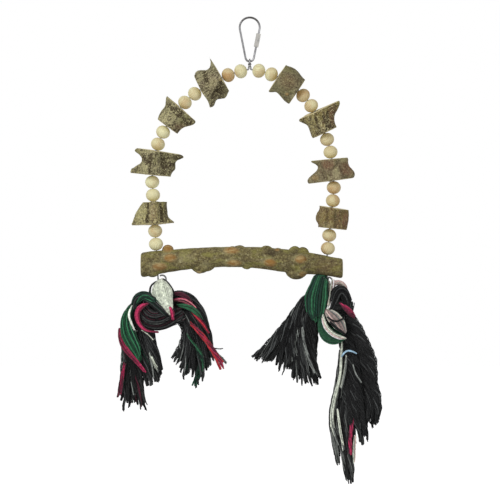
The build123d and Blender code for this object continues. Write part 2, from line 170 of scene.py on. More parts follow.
class SwingRope(bpy.types.PropertyGroup):
    """Values of the two ropes and their dyes"""

    yarn: size("Yarn radius", "Radius of one cotton yarn", 0.54)
    wander: size("Wander", "How far a yarn strays from its strand", 0.5)
    sides: IntProperty(name="Yarn sides", description="Faces around one yarn", default=4, min=3, max=12)
    step: size("Yarn step", "Length of one segment of a yarn", 2.2)
    ply: size("Ply", "Length of one turn of a yarn's plies", 2.1)
    core: size("Core radius", "Radius of the packed middle of a tail", 4.6)
    black: colour("Black", "Black yarn", 20, 21, 22)
    # Grey yarn stands partly for faded yarn, partly for painted highlights along the twisted black yarns
    grey: colour("Grey", "Faded black yarn", 62, 64, 64)
    ash: colour("Ash", "Worn grey yarn", 126, 130, 126)
    green: colour("Green", "Green yarn", 44, 100, 68)
    dark_green: colour("Dark green", "Green yarn in the black strands", 22, 56, 44)
    magenta: colour("Magenta", "Magenta yarn", 166, 42, 82)
    plum: colour("Plum", "Faded magenta yarn", 84, 30, 48)
    red: colour("Red", "Red yarn", 176, 46, 56)
    rose: colour("Rose", "Faded red yarn", 190, 110, 120)
    white: colour("White", "Undyed yarn", 216, 222, 205)
    pink: colour("Pink", "Undyed yarn stained by its neighbours", 202, 176, 170)
    blue: colour("Blue", "Pale blue thread", 130, 158, 176)


class SwingStage(bpy.types.PropertyGroup):
    """Values of the camera, the lamps and the floor"""

    distance: size("Camera distance", "From the swing to the camera", 2500)
    lens: FloatProperty(name="Lens", description="Focal length in millimetres", unit="CAMERA", default=180)
    floor_height: size("Floor", "Height of the floor", -620)
    floor_reach: size("Floor reach", "From the middle of the floor to its sides", 6000)
    key_power: FloatProperty(name="Key power", description="Power of the main lamp", unit="POWER", default=36)
    key_place: place("Key place", "Where the main lamp stands", -1.3, -1.9, 1.1)
    key_width: size("Key width", "Side of the main lamp", 1100)
    fill_power: FloatProperty(name="Fill power", description="Power of the second lamp", unit="POWER",
                              default=10)
    fill_place: place("Fill place", "Where the second lamp stands", 1.7, -1.7, 0.1)
    fill_width: size("Fill width", "Side of the second lamp", 1400)
    sky: FloatProperty(name="Sky", description="Strength of the light from all round", default=0.42)


GROUPS = {
    "swing_steel": SwingSteel,
    "swing_beads": SwingBeads,
    "swing_bark": SwingBark,
    "swing_rope": SwingRope,
    "swing_stage": SwingStage,
}


def math_method(operation, reflected=False):
    """A method of Port that adds one Math node; a reflected one puts the other value first."""
    def method(self, other):
        first, second = (other, self) if reflected else (self, other)
        return self.graph.node("ShaderNodeMath", {"operation": operation}, {0: first, 1: second})
    return method


class Port:
    """One output of a node tree that takes part in sums, so that a pattern is written as an expression."""

    def __init__(self, graph, socket):
        self.graph = graph
        self.socket = socket

    def __getitem__(self, output):
        """Another output of the same node."""
        return Port(self.graph, self.socket.node.outputs[output])

    __add__ = math_method("ADD")
    __radd__ = math_method("ADD", reflected=True)
    __sub__ = math_method("SUBTRACT")
    __rsub__ = math_method("SUBTRACT", reflected=True)
    __mul__ = math_method("MULTIPLY")
    __rmul__ = math_method("MULTIPLY", reflected=True)
    __truediv__ = math_method("DIVIDE")
    __pow__ = math_method("POWER")
    most = math_method("MAXIMUM")
    least = math_method("MINIMUM")


def opaque(shade):
    """A link as it is, and a plain colour with its alpha."""
    return shade if isinstance(shade, Port) else (*shade, 1.0)


class Graph:
    """Adds nodes to a tree by their type, their settings and the values or links of their sockets."""

    # Sockets that a name alone doesn't tell apart
    MIX_FIRST, MIX_SECOND, MIX_RESULT = 6, 7, 2
    RANDOM_LOW, RANDOM_HIGH, RANDOM_RESULT = 2, 3, 1

    def __init__(self, tree):
        self.tree = tree

    def node(self, kind, settings=None, inputs=None, output=0):
        """Adds one node; gives one of its outputs, or the node itself where it has none."""
        made = self.tree.nodes.new(kind)
        for name, value in (settings or {}).items():
            setattr(made, name, value)
        for key, value in (inputs or {}).items():
            if isinstance(value, Port):
                self.tree.links.new(value.socket, made.inputs[key])
            else:
                made.inputs[key].default_value = value
        return Port(self, made.outputs[output]) if len(made.outputs) else made

    def function(self, operation, value):
        """A sum of one value, such as a sine."""
        return self.node("ShaderNodeMath", {"operation": operation}, {0: value})

    def step(self, value, low, high, bottom=0.0, top=1.0):
        """A smooth rise from bottom to top as value goes from low to high."""
        return self.node("ShaderNodeMapRange", {"interpolation_type": "SMOOTHSTEP"},
                         {"Value": value, "From Min": low, "From Max": high, "To Min": bottom, "To Max": top})

    def vector(self, operation, first, second=None, output=0):
        inputs = {0: first} if second is None else {0: first, 1: second}
        return self.node("ShaderNodeVectorMath", {"operation": operation}, inputs, output)

    def dot(self, first, second):
        return self.vector("DOT_PRODUCT", first, second, "Value")

    def scaled(self, vector, factor):
        """A vector times one number."""
        return self.node("ShaderNodeVectorMath", {"operation": "SCALE"}, {0: vector, "Scale": factor})

    def stretched(self, vector, factors):
        """A vector times a number for each direction."""
        return self.vector("MULTIPLY", vector, factors)

    def joined(self, *parts):
        """A vector from its three parts."""
        return self.node("ShaderNodeCombineXYZ", None, dict(enumerate(parts)))

    def noise(self, vector, scale, detail=2.0, roughness=0.5, distortion=0.0, output=0):
        return self.node("ShaderNodeTexNoise", {"noise_dimensions": "3D"},
                         {"Vector": vector, "Scale": scale, "Detail": detail, "Roughness": roughness,
                          "Distortion": distortion}, output)

    def cells(self, vector, scale, feature="F1", output=0):
        return self.node("ShaderNodeTexVoronoi", {"feature": feature},
                         {"Vector": vector, "Scale": scale}, output)

    def chance(self, who, seed, low=0.0, high=1.0):
        """A random number of its own for each of those counted by who."""
        return self.node("FunctionNodeRandomValue", {"data_type": "FLOAT"},
                         {self.RANDOM_LOW: low, self.RANDOM_HIGH: high, "ID": who, "Seed": seed},
                         self.RANDOM_RESULT)

    def mix(self, share, first, second):
        """A colour that goes from the first to the second."""
        return self.node("ShaderNodeMix", {"data_type": "RGBA"},
                         {"Factor": share, self.MIX_FIRST: opaque(first), self.MIX_SECOND: opaque(second)},
                         self.MIX_RESULT)

    def attribute(self, name, output="Fac"):
        """What a material reads from the mesh under a name."""
        return self.node("ShaderNodeAttribute", {"attribute_name": name}, None, output)

    def recalled(self, name, kind="FLOAT"):
        """What a geometry tree reads from the points under a name."""
        return self.node("GeometryNodeInputNamedAttribute", {"data_type": kind}, {"Name": name})

    def stored(self, geometry, name, kind, value):
        """The geometry with a value kept on its points under a name."""
        return self.node("GeometryNodeStoreNamedAttribute", {"data_type": kind, "domain": "POINT"},
                         {"Geometry": geometry, "Name": name, "Value": value})


# Materials


def new_material(name):
    """An empty material, and the graph that fills it."""
    material = bpy.data.materials.new(name)
    material.use_nodes = True
    material.node_tree.nodes.clear()
    return material, Graph(material.node_tree)


def surface(graph, inputs, height, strength, distance):
    """Closes a material with a Principled shader and a bump."""
    bump = {"Strength": strength, "Distance": distance, "Height": height}
    inputs["Normal"] = graph.node("ShaderNodeBump", None, bump)
    shader = graph.node("ShaderNodeBsdfPrincipled", None, inputs)
    graph.node("ShaderNodeOutputMaterial", None, {"Surface": shader})


def steel_material(name, steel, shade, stain, top_darkening=0.0):
    """Plated or drawn steel with fine scratches and a little grime, darker from the origin's height up."""
    material, graph = new_material(name)
    where = graph.node("ShaderNodeTexCoord", output="Object")
    grime = graph.step(graph.noise(where, scale=260, detail=3), 0.42, 0.75)
    scratch = graph.noise(graph.stretched(where, (900, 900, 120)), scale=1, detail=4, roughness=0.7)
    height = graph.node("ShaderNodeSeparateXYZ", None, {0: where}, "Z")
    share = grime * 0.5 + graph.step(height, 0.0, steel.top_darkening_height) * top_darkening
    surface(graph, {
        "Base Color": graph.mix(share.least(1.0), shade, stain),
        "Metallic": 1 - grime * 0.35,
        "Roughness": 0.27 + scratch * 0.16 + grime * 0.18,
    }, height=scratch, strength=0.12, distance=0.05 * MM)
    return material


def bead_material(settings):
    """Turned light wood with growth rings, flecks and a warm late wood, warmer and darker by each bead's
    warmth_and_shade, which is partly painted shade.
    """
    material, graph = new_material("bead_wood")
    grain = graph.attribute("grain", "Vector")
    bend = graph.noise(grain, scale=160)
    across = graph.node("ShaderNodeSeparateXYZ", None, {0: grain}, "X")
    rings = graph.function("SINE", (across / settings.ring_pitch + bend * 2.2) * math.tau)
    late = graph.step(rings, 0.1, 1.0)
    fleck = graph.noise(graph.stretched(grain, (2600, 2600, 320)), scale=1, roughness=0.6)
    cloud = graph.noise(grain, scale=90)
    flecks = graph.step(fleck, 0.55, 0.8) * 0.3
    clouds = graph.step(cloud, 0.42, 0.66) * 0.3
    # warmth_and_shade: partly the bead's own warm tone, partly painted shade
    share = late * 0.22 + flecks + clouds + graph.attribute("warmth_and_shade") * 0.5
    surface(graph, {
        "Base Color": graph.mix(share.least(1.0), settings.pale_colour, settings.warm_colour),
        "Roughness": 0.52 + fleck * 0.16,
        "Specular IOR Level": 0.35,
    }, height=late * 0.4 + fleck, strength=0.18, distance=0.1 * MM)
    return material


class Bark(NamedTuple):
    """A kind of bark: how far its spots differ and how softly they meet, its brightness and its relief."""

    name: str
    contrast: float
    brightness: float
    softness: float
    relief: float


COARSE = Bark("coarse_bark", contrast=1.15, brightness=0.55, softness=0.17, relief=1.15)
FINE = Bark("fine_bark", contrast=0.7, brightness=0.45, softness=0.24, relief=0.8)
SMOOTH = Bark("perch_bark", contrast=0.5, brightness=0.335, softness=0.4, relief=0.75)

# What a patch of bark can be, each kept on the mesh as an attribute of that name; shade is painted shade,
# partly darker bark
TINTS = ("rust", "scar", "shade", "pale", "grey", "moss")


def bark_material(bark, settings):
    """Rough bark with fissures, lichen, moss and red patches, painted shade and highlights, and pale sawn
    faces with growth rings.
    """
    material, graph = new_material(bark.name)
    grain = graph.attribute("grain", "Vector")
    saw = graph.attribute("saw")
    relief = graph.attribute("relief")
    rust, scar, shade, pale, grey, moss = [graph.attribute(kind) for kind in TINTS]
    drawn = graph.stretched(grain, (1.0, 1.0, 0.45))
    cloud = graph.noise(drawn, scale=130, detail=4, roughness=0.6)
    crust = graph.noise(drawn, scale=420, detail=4, roughness=0.66)
    dust = graph.noise(grain, scale=1500, detail=3, roughness=0.6)
    grit = graph.noise(grain, scale=760, roughness=0.7)
    fleck = graph.step(graph.noise(grain, scale=330, detail=4, roughness=0.65), 0.56, 0.68)
    crack = graph.step(graph.cells(drawn, 260, "DISTANCE_TO_EDGE"), 0.0, 0.09, 1.0, 0.0)
    granule = graph.step(graph.cells(grain, 610, output="Color"), 0.2, 0.8)

    rough = crust * 0.55 + granule * 0.45
    swing = bark.contrast / 2
    light = graph.step(rough, 0.49 - bark.softness, 0.49 + bark.softness,
                       bark.brightness - swing, bark.brightness + swing)
    blur = 1.6 * bark.softness
    # Darker where the relief is low: in the bark's fissures, and painted shade in the grooves' creases
    sunk = graph.step(relief, 0.15 - blur, 0.15 + blur, 1.0, 0.0)
    pits = graph.step(grit, 0.3, 0.46, 0.4, 0.0)
    # Shade patches add painted shade here, darkening towards the fissure colour
    dark = (sunk * 0.72 * bark.contrast + crack * 0.2) * bark.contrast + shade * 0.85 + pits
    bright = graph.step(grit, 0.54, 0.66) * 0.66 * bark.contrast ** 2 + graph.step(dust, 0.5, 0.75) * 0.2

    sliver = graph.noise(graph.stretched(grain, (1.0, 1.0, 0.2)), scale=420, detail=3, roughness=0.6)
    bared = graph.mix(graph.step(sliver, 0.4, 0.72), settings.scar_colour, settings.ring_colour)
    flat = graph.stretched(grain, (1.0, 1.0, 0.0))
    wobble = graph.noise(flat, scale=130) * settings.ring_wobble
    radius = graph.vector("LENGTH", flat, output="Value") + wobble
    rings = graph.function("SINE", radius * (math.tau / settings.ring_pitch))
    rays = graph.noise(graph.stretched(grain, (700, 700, 40)), scale=1, detail=3, roughness=0.7)
    late = graph.step(rings, -0.2, 1.0) * 0.35 + graph.step(rays, 0.45, 0.75) * 0.35
    sawn = graph.mix(late, settings.grain_colour, settings.ring_colour)

    # Each layer covers a share of those before it
    base = graph.mix(light, settings.fissure_and_shade_colour, settings.bark_colour)
    for share, tint in (
        (graph.step(cloud, 0.48, 0.62) * 0.6, settings.moss_colour),
        (moss * graph.step(rough, 0.3, 0.6, 0.2, 0.85), settings.moss_colour),
        # Pale patches lighten the bark towards lichen; they also carry the painted highlight up and left of
        # each scar
        ((fleck * (0.42 + pale * 0.5)).least(1.0), settings.lichen_colour),
        (grey * graph.step(rough, 0.2, 0.7, 0.25, 0.75), settings.grey_colour),
        (rust * graph.step(crust, 0.25, 0.6, 0.45, 0.9), settings.rust_colour),
        (pale * 0.4, settings.lichen_colour),
        (dark.least(0.92), settings.fissure_and_shade_colour),
        (bright.least(1.0), settings.lichen_colour),
        (scar, bared),
        (saw, sawn),
    ):
        base = graph.mix(share, base, tint)
    bumps = (crust + granule * 0.5 * bark.contrast) * (1 - saw * 0.8)
    height = bumps + dust * 0.35 + rays * saw * 0.4 - crack * 0.35 * (1 - saw)
    surface(graph, {
        "Base Color": base,
        "Roughness": 0.9 - scar * 0.25 - saw * 0.08 + dust * 0.06,
        "Specular IOR Level": 0.2,
    }, height, strength=0.8, distance=0.7 * MM)
    return material


def yarn_material(settings):
    """Soft cotton: each yarn keeps its own dye, a little worn along its length."""
    material, graph = new_material("cotton_yarn")
    where = graph.node("ShaderNodeTexCoord", output="Object")
    fuzz = graph.noise(where, scale=1700, detail=3, roughness=0.65)
    cloud = graph.noise(where, scale=420, detail=3, roughness=0.6)
    ply = graph.function("SINE", graph.attribute("along") * (math.tau / settings.ply) + fuzz * 3.0)
    faded = graph.scaled(graph.attribute("dye", "Color"), graph.step(cloud, 0.32, 0.68, 0.68, 1.28))
    lint = (0.4, 0.4, 0.38)
    surface(graph, {
        "Base Color": graph.mix(graph.step(fuzz, 0.5, 0.85) * 0.16, faded, lint),
        "Roughness": 0.86 + fuzz * 0.1,
        "Specular IOR Level": 0.15,
        "Sheen Weight": 0.12,
        "Sheen Roughness": 0.5,
    }, height=ply * 0.5 + fuzz, strength=0.45, distance=0.25 * MM)
    return material


def seen_directly(graph):
    """1 for what the camera sees, also in metal and through glass."""
    path = graph.node("ShaderNodeLightPath", output="Is Camera Ray")
    return path.most(path["Is Glossy Ray"]).most(path["Is Transmission Ray"])


def floor_material():
    """White to the camera and in reflections, and still darkened by a shadow."""
    material, graph = new_material("studio_floor")
    diffuse = graph.node("ShaderNodeBsdfDiffuse", None, {"Color": opaque((0.35, 0.35, 0.35))})
    glow = graph.node("ShaderNodeEmission", None, {"Color": opaque(WHITE), "Strength": 0.92})
    both = graph.node("ShaderNodeAddShader", None, {0: diffuse, 1: glow})
    plain = graph.node("ShaderNodeBsdfDiffuse", None, {"Color": opaque((0.8, 0.8, 0.8))})
    shown = graph.node("ShaderNodeMixShader", None, {0: seen_directly(graph), 1: plain, 2: both})
    graph.node("ShaderNodeOutputMaterial", None, {"Surface": shown})
    return material


# Meshes

WELD_DISTANCE = 0.001 * MM


def add_object(name, data):
    """A new object at the origin in the scene."""
    made = bpy.data.objects.new(name, data)
    bpy.context.scene.collection.objects.link(made)
    return made


def baked(source, name):
    """The evaluated mesh of an object with modifiers, as a plain object of its own; the source is removed."""
    graph = bpy.context.evaluated_depsgraph_get()
    mesh = bpy.data.meshes.new_from_object(source.evaluated_get(graph), depsgraph=graph)
    bpy.data.objects.remove(source)
    mesh.name = name
    return add_object(name, mesh)


def seat(piece, node, material=None):
    """The piece stands for a CAD node, moves with its body and takes its finish from a slot."""
    if material is not None:
        piece.data.materials.clear()
        piece.data.materials.append(material)
    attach(piece, NODES[node]["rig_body"])
    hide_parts(node)
    return piece


def joined_copy(node):
    """A copy of a CAD node's mesh with its triangles joined up."""
    made = add_object("copy_" + node, NODES[node].data.copy())
    weld = made.modifiers.new("weld", "WELD")
    weld.merge_threshold = WELD_DISTANCE
    return made


def values_of(items, field, width=1, kind=np.float32):
    """One field of a mesh's items as an array, with a row for each item where the field is wider than one."""
    values = np.empty(len(items) * width, kind)
    items.foreach_get(field, values)
    return values.reshape(-1, width) if width > 1 else values


def points_of(mesh):
    """A mesh's vertices as an array."""
    return values_of(mesh.vertices, "co", 3).astype(float)


def set_attribute(mesh, name, kind, values, field):
    """Writes one value for each vertex."""
    layer = mesh.attributes.get(name) or mesh.attributes.new(name, kind, "POINT")
    layer.data.foreach_set(field, np.asarray(values, np.float32).ravel())


def smooth(mesh):
    """Shades a mesh smoothly all over."""
    mesh.polygons.foreach_set("use_smooth", [True] * len(mesh.polygons))


def smooth_metal(node, name, material, crease):
    """A rigid metal piece: the CAD node's own form, shaded smoothly between its creases."""
    piece = baked(joined_copy(node), name)
    mesh = piece.data
    if "custom_normal" in mesh.attributes:
        mesh.attributes.remove(mesh.attributes["custom_normal"])
    smooth(mesh)
    mesh.set_sharp_from_angle(angle=crease)
    return seat(piece, node, material)


# Beads

# How warm each bead's wood looks, from the crown down: partly its own tone, partly painted shade, most on the
# third right bead, in a slice's shadow
BEAD_WARMTH_AND_SHADE = {
    "left": (0.25, 0.95, 0.05, 0.4, 0.1, 0.35, 0.0, 0.25, 0.5, 0.2),
    "right": (0.25, 0.25, 1.0, 0.45, 0.7, 0.6, 0.85, 0.65, 0.55, 0.7),
}


def bead_profile(radius, half_length, bore, rim, arc_steps=22):
    """Radius and height of a drilled bead's section, closed: down the bore, then up round the outside."""
    latest = math.acos((bore + rim) / radius)
    longest = half_length / math.sin(latest)
    outside = [(radius * math.cos(a), longest * math.sin(a)) for a in np.linspace(-latest, latest, arc_steps)]
    return [(bore, half_length - rim), (bore, 0.0), (bore, rim - half_length), *outside]


def turned_bead(name, middle, axis, radius, half_length, warmth_and_shade, settings, draws, segments=40):
    """A drilled bead turned about its axis, with its own run of grain."""
    side = axis.orthogonal().normalized()
    other = axis.cross(side)
    profile = bead_profile(radius, half_length, settings.bore, settings.rim)
    rows = len(profile)
    local = []
    faces = []
    for index in range(segments):
        turn = math.tau * index / segments
        outward = side * math.cos(turn) + other * math.sin(turn)
        local += [outward * reach + axis * height for reach, height in profile]
        here = index * rows
        there = (index + 1) % segments * rows
        for row in range(rows):
            after = (row + 1) % rows
            faces.append((here + row, there + row, there + after, here + after))
    mesh = bpy.data.meshes.new(name)
    mesh.from_pydata([middle + offset for offset in local], [], faces)
    smooth(mesh)
    mesh.set_sharp_from_angle(angle=settings.crease_angle)
    spin = Vector(draws.normal(size=3)).normalized()
    turned = spin.rotation_difference(Vector((0, 0, 1))).to_matrix()
    shift = Vector(draws.uniform(-1, 1, 3)) * settings.grain_shift
    set_attribute(mesh, "grain", "FLOAT_VECTOR", [turned @ offset + shift for offset in local], "vector")
    # How warm the bead's wood is, with its painted shade
    set_attribute(mesh, "warmth_and_shade", "FLOAT", [warmth_and_shade] * len(local), "value")
    return add_object(name, mesh)


# Branch slices and perch

FRONT = -1
ALL_ROUND = 0
BACK = 1


class Patch(NamedTuple):
    """A tinted or raised place on the bark: an ellipse on the drawing sheet."""

    u: float
    v: float
    across: float
    down: float
    amount: float = 1.0


class Groove(NamedTuple):
    """A crease in the bark from one place of the sheet to another, with painted shade in it; a negative depth
    raises a rib, painted a little lighter.
    """

    start: tuple
    end: tuple
    width: float
    depth: float


class Pull(NamedTuple):
    """A part of the branch drawn from one place of the sheet to another, with what is within reach of it."""

    start: tuple
    end: tuple
    reach: float


class Branch(NamedTuple):
    """The bark of one piece: its patches by kind, as the values of a Patch, its grooves and its pulls."""

    bark: Bark
    patches: dict
    grooves: tuple
    pulls: tuple = ()
    front: dict = {}
    back: dict = {}

    def all_patches(self):
        """Each patch with the side that it is seen from and its kind."""
        for side, groups in ((ALL_ROUND, self.patches), (FRONT, self.front), (BACK, self.back)):
            for kind, group in groups.items():
                for values in group:
                    yield side, kind, Patch(*values)


# Shade patches are painted shade where a slice or the perch lies in shadow: in creases, at ends and tips, and
# below and right of raised scars; partly they are darker bark
BRANCHES = {
    "left_chunk_1": Branch(COARSE, {
        "grey": ((210, 84, 40, 40, 0.9),),
        "shade": ((206, 81, 3, 5, 0.7), (222, 94, 6, 8, 0.65), (212, 74, 3, 8, 0.3), (195, 79, 3, 6, 0.5),
                  (213, 103, 4, 4, 0.5), (225, 88, 4, 9, 0.4)),
        "pale": ((200, 76, 7, 6), (212, 85, 7, 6, 0.7)),
        "moss": ((212, 68, 5, 9, 0.7), (208, 92, 8, 6, 0.5)),
        "rust": ((211, 84, 14, 14, 0.35),),
        "scar": ((221, 81, 1.6, 1.2, 0.7),),
    }, grooves=(Groove((204, 71), (208, 83), 1.8, 1.4), Groove((223, 82), (213, 98), 2.2, 1.6),
                Groove((222, 98), (216, 92), 1.5, 1.0)),
       pulls=(Pull((211.3, 60.5), (208.9, 57.6), 4.0), Pull((206, 102), (207.6, 101.2), 8.0))),
    "left_chunk_2": Branch(COARSE, {
        "grey": ((172, 114, 40, 40, 0.55),),
        "shade": ((180, 113.5, 5, 3.5), (191, 121, 5, 4, 0.8), (177, 132, 4, 4, 0.7),
                  (193, 123, 3, 3, 0.6)),
        "pale": ((164, 118, 8, 8), (175, 118, 6, 6, 0.8), (170, 108, 4, 6, 0.6), (185, 121, 3, 2, 0.8)),
        "moss": ((184, 119, 8, 6, 0.8), (166, 110, 5, 6, 0.5)),
        "rust": ((181, 128, 9, 5, 0.6),),
    }, grooves=(Groove((166, 104), (180, 116), 2.0, 1.1), Groove((187, 125), (183, 117), 1.6, 1.4))),
    "left_chunk_3": Branch(COARSE, {
        "grey": ((160, 163, 40, 40, 0.6),),
        "shade": ((163, 163, 4, 10, 0.5), (177, 157, 8, 4, 0.9), (172, 168, 5, 6, 0.4),
                  (180, 156, 3.5, 3, 1.0)),
        "pale": ((145, 168, 8, 7), (152, 152, 10, 2, 0.8)),
    }, grooves=(Groove((142, 157), (150, 164), 2.5, 1.0), Groove((162, 154), (165, 176), 1.4, 1.2),
                Groove((175, 164), (166, 167), 1.2, 1.2), Groove((150, 154), (151, 176), 1.2, 0.8))),
    "left_chunk_4": Branch(COARSE, {
        "pale": ((152, 213, 32, 24, 0.45), (141, 214, 9, 13), (151.5, 212, 1.6, 10, 0.8)),
        "rust": ((154, 213, 5, 11, 0.6),),
        "moss": ((142, 213, 9, 12, 0.7),),
        "shade": ((166, 212, 3.5, 11, 0.6),),
    }, grooves=(Groove((148.3, 201), (147.6, 226), 1.1, 2.1), Groove((161.6, 201), (162.4, 225), 1.2, 1.8),
                Groove((155, 201), (154.6, 227), 4.5, -1.2))),
    "right_chunk_1": Branch(FINE, {
        "moss": ((283, 88, 11, 9, 0.5),),
        "grey": ((287, 84, 40, 40, 0.55),),
        "shade": ((287, 84, 40, 40, 0.28), (293, 70, 6, 3, 0.5)),
        "rust": ((288, 82, 11, 9, 0.55),),
        "pale": ((277, 90, 6, 5, 0.6), (293, 98, 5, 4, 0.5)),
        "scar": ((287, 94.5, 2, 1.6, 0.6),),
    }, grooves=(Groove((287, 91), (287, 98), 3.0, -0.6), Groove((279, 74), (299, 92), 3.5, -0.5))),
    "right_chunk_2": Branch(COARSE, {
        "moss": ((313, 122, 10, 13, 0.85),),
        "rust": ((320, 120, 30, 26, 0.35), (333, 115, 7, 14, 1.0)),
        "shade": ((320, 120, 40, 40, 0.1), (334, 112, 4, 12, 0.5), (332, 129, 5, 4, 0.7)),
        "pale": ((312, 126, 9, 8, 0.4), (319.5, 128, 2.6, 8, 0.9), (324.5, 130, 1.6, 6, 0.7)),
    }, grooves=(Groove((315, 119), (321, 137), 1.1, 1.0), Groove((319, 118), (325, 136), 1.1, -0.8),
                Groove((328, 112), (327, 134), 1.4, 1.5), Groove((323, 117), (328, 133), 1.0, 0.9))),
    "right_chunk_3": Branch(FINE, {
        "grey": ((331, 171, 40, 40, 0.7),),
        "rust": ((331, 171, 30, 20, 0.35), (327, 165, 9, 7, 1.0), (346, 169, 9, 10, 1.0)),
        "scar": ((315, 178, 4, 3, 0.35),),
        "moss": ((318, 163, 6, 5, 0.7),),
        "pale": ((336, 174, 4, 8, 0.7), (343, 160, 4, 3, 0.7)),
    }, grooves=(Groove((319, 164), (326, 182), 1.6, 1.3), Groove((340, 163), (330, 182), 1.6, -0.9),
                Groove((337, 162), (345, 178), 1.5, 1.3), Groove((341, 160), (333, 170), 1.4, 1.0))),
    "right_chunk_4": Branch(FINE, {
        "rust": ((332, 220, 40, 40, 0.55), (345, 220, 5, 11, 1.0), (338, 226, 6, 5, 0.6)),
        "moss": ((327, 220, 8, 12, 0.8),),
        "pale": ((326, 226, 6, 4, 0.6),),
        "scar": ((339, 221, 1.2, 1.0, 0.8),),
        "shade": ((335, 217, 3, 8, 0.2),),
    }, grooves=(Groove((327, 209), (326, 230), 1.0, 1.0), Groove((335.5, 209), (335, 230), 1.2, 1.4),
                Groove((331, 209), (330.5, 231), 2.0, -0.7), Groove((342, 210), (340, 231), 1.2, 0.9))),
    "perch": Branch(SMOOTH, {},
        grooves=(Groove((147, 256), (158, 259), 1.4, 0.6), Groove((152, 263), (166, 262), 1.2, 0.7),
                 Groove((238, 256), (262, 255), 1.3, 0.6), Groove((283, 256), (297, 264), 1.4, 0.8),
                 Groove((240, 263), (262, 266), 1.2, 0.5), Groove((288, 263), (296, 275), 1.6, 0.8),
                 Groove((306, 259), (310, 272), 1.6, 0.6), Groove((262, 251), (284, 256), 1.5, 0.9)),
        pulls=(Pull((293, 262), (293, 263.6), 26.0),),
        front={
            "scar": ((168, 248, 6, 4.5, 1.0), (170.5, 258, 6.5, 4.2, 0.9), (160, 266.5, 7.5, 4, 0.7),
                     (231.5, 250.5, 8, 3.6, 0.9), (234, 263, 7.5, 3.2, 0.85), (270, 262, 6.5, 4, 0.95),
                     (300.5, 258, 6, 4, 0.85), (303, 273, 4.5, 3, 0.6), (277, 249, 2.4, 1.3, 0.7),
                     (199, 272.5, 3.0, 1.6, 0.6)),
            "rust": ((160, 267, 7, 4, 0.9), (325, 267, 14, 8, 0.3)),
            "shade": ((272, 251.5, 9, 3.4, 0.9), (280.5, 262, 1.4, 1.6, 0.9), (298, 277, 6, 4, 0.6),
                      (205, 273, 4, 2.5, 0.7), (294, 251, 6, 3, 0.5), (316, 266, 24, 14, 0.22),
                      (286, 268, 12, 6, 0.3)),
            "pale": ((206, 265, 5, 4, 0.7), (185, 258, 9, 6, 0.5)),
        },
        back={
            "scar": ((182, 262, 5, 3, 0.8), (221, 255, 5, 3, 0.8), (262, 256, 5, 2.6, 0.8),
                     (316, 268, 4, 3, 0.8)),
            "shade": ((240, 262, 8, 4, 0.6),),
            "rust": ((285, 264, 12, 6, 0.6),),
            "pale": ((200, 260, 9, 5, 0.7),),
        }),
}

# Triangles belong to one sawn face where their directions agree to within 1 / SAW_STEPS
SAW_STEPS = 50
SAW_FACING = 0.8
# Depth of the band along a sawn face that stays free of bark, in mesh steps
SAW_BAND = 0.9
# How far apart two pieces of branch lie in the noise, and how deep the ray that measures thickness starts
SEED_SHIFT = 0.37
RAY_START = 0.05 * MM


def saw_plane(node, direction):
    """Middle and outward direction of the largest flat face that looks along a direction."""
    faces = NODES[node].data.polygons
    facing = values_of(faces, "normal", 3)
    middle = values_of(faces, "center", 3)
    area = values_of(faces, "area")
    keys = np.round(facing * SAW_STEPS).astype(int)
    groups = {}
    for index in np.flatnonzero(facing @ np.array(direction) > SAW_FACING):
        groups.setdefault(tuple(keys[index]), []).append(index)
    largest = max(groups.values(), key=lambda members: area[members].sum())
    weight = area[largest][:, None]
    normal = (facing[largest] * weight).sum(0)
    return Vector((middle[largest] * weight).sum(0) / weight.sum()), Vector(normal).normalized()


BARK_INPUTS = {
    "Vector": ("Middle", "Across", "Away", "Along", "Upper Point", "Upper Normal", "Lower Point",
               "Lower Normal"),
    "Float": ("Relief", "Saw Depth", "Thin", "Thick", "Seed"),
    "Material": ("Material",),
}


def new_tree(name, inputs):
    """A geometry tree with one geometry in and out and named inputs; gives its graph and its input node."""
    tree = bpy.data.node_groups.new(name, "GeometryNodeTree")
    tree.interface.new_socket("Geometry", in_out="INPUT", socket_type="NodeSocketGeometry")
    for kind, labels in inputs.items():
        for label in labels:
            tree.interface.new_socket(label, in_out="INPUT", socket_type="NodeSocket" + kind)
    tree.interface.new_socket("Geometry", in_out="OUTPUT", socket_type="NodeSocketGeometry")
    graph = Graph(tree)
    return graph, graph.node("NodeGroupInput")


def close_tree(graph, geometry, material):
    """Ends a geometry tree with smooth, plain geometry and its material."""
    geometry = graph.node("GeometryNodeSetShadeSmooth", None, {"Geometry": geometry})
    geometry = graph.node("GeometryNodeRealizeInstances", None, {"Geometry": geometry})
    geometry = graph.node("GeometryNodeSetMaterial", None, {"Geometry": geometry, "Material": material})
    graph.node("NodeGroupOutput", None, {"Geometry": geometry})
    return graph.tree


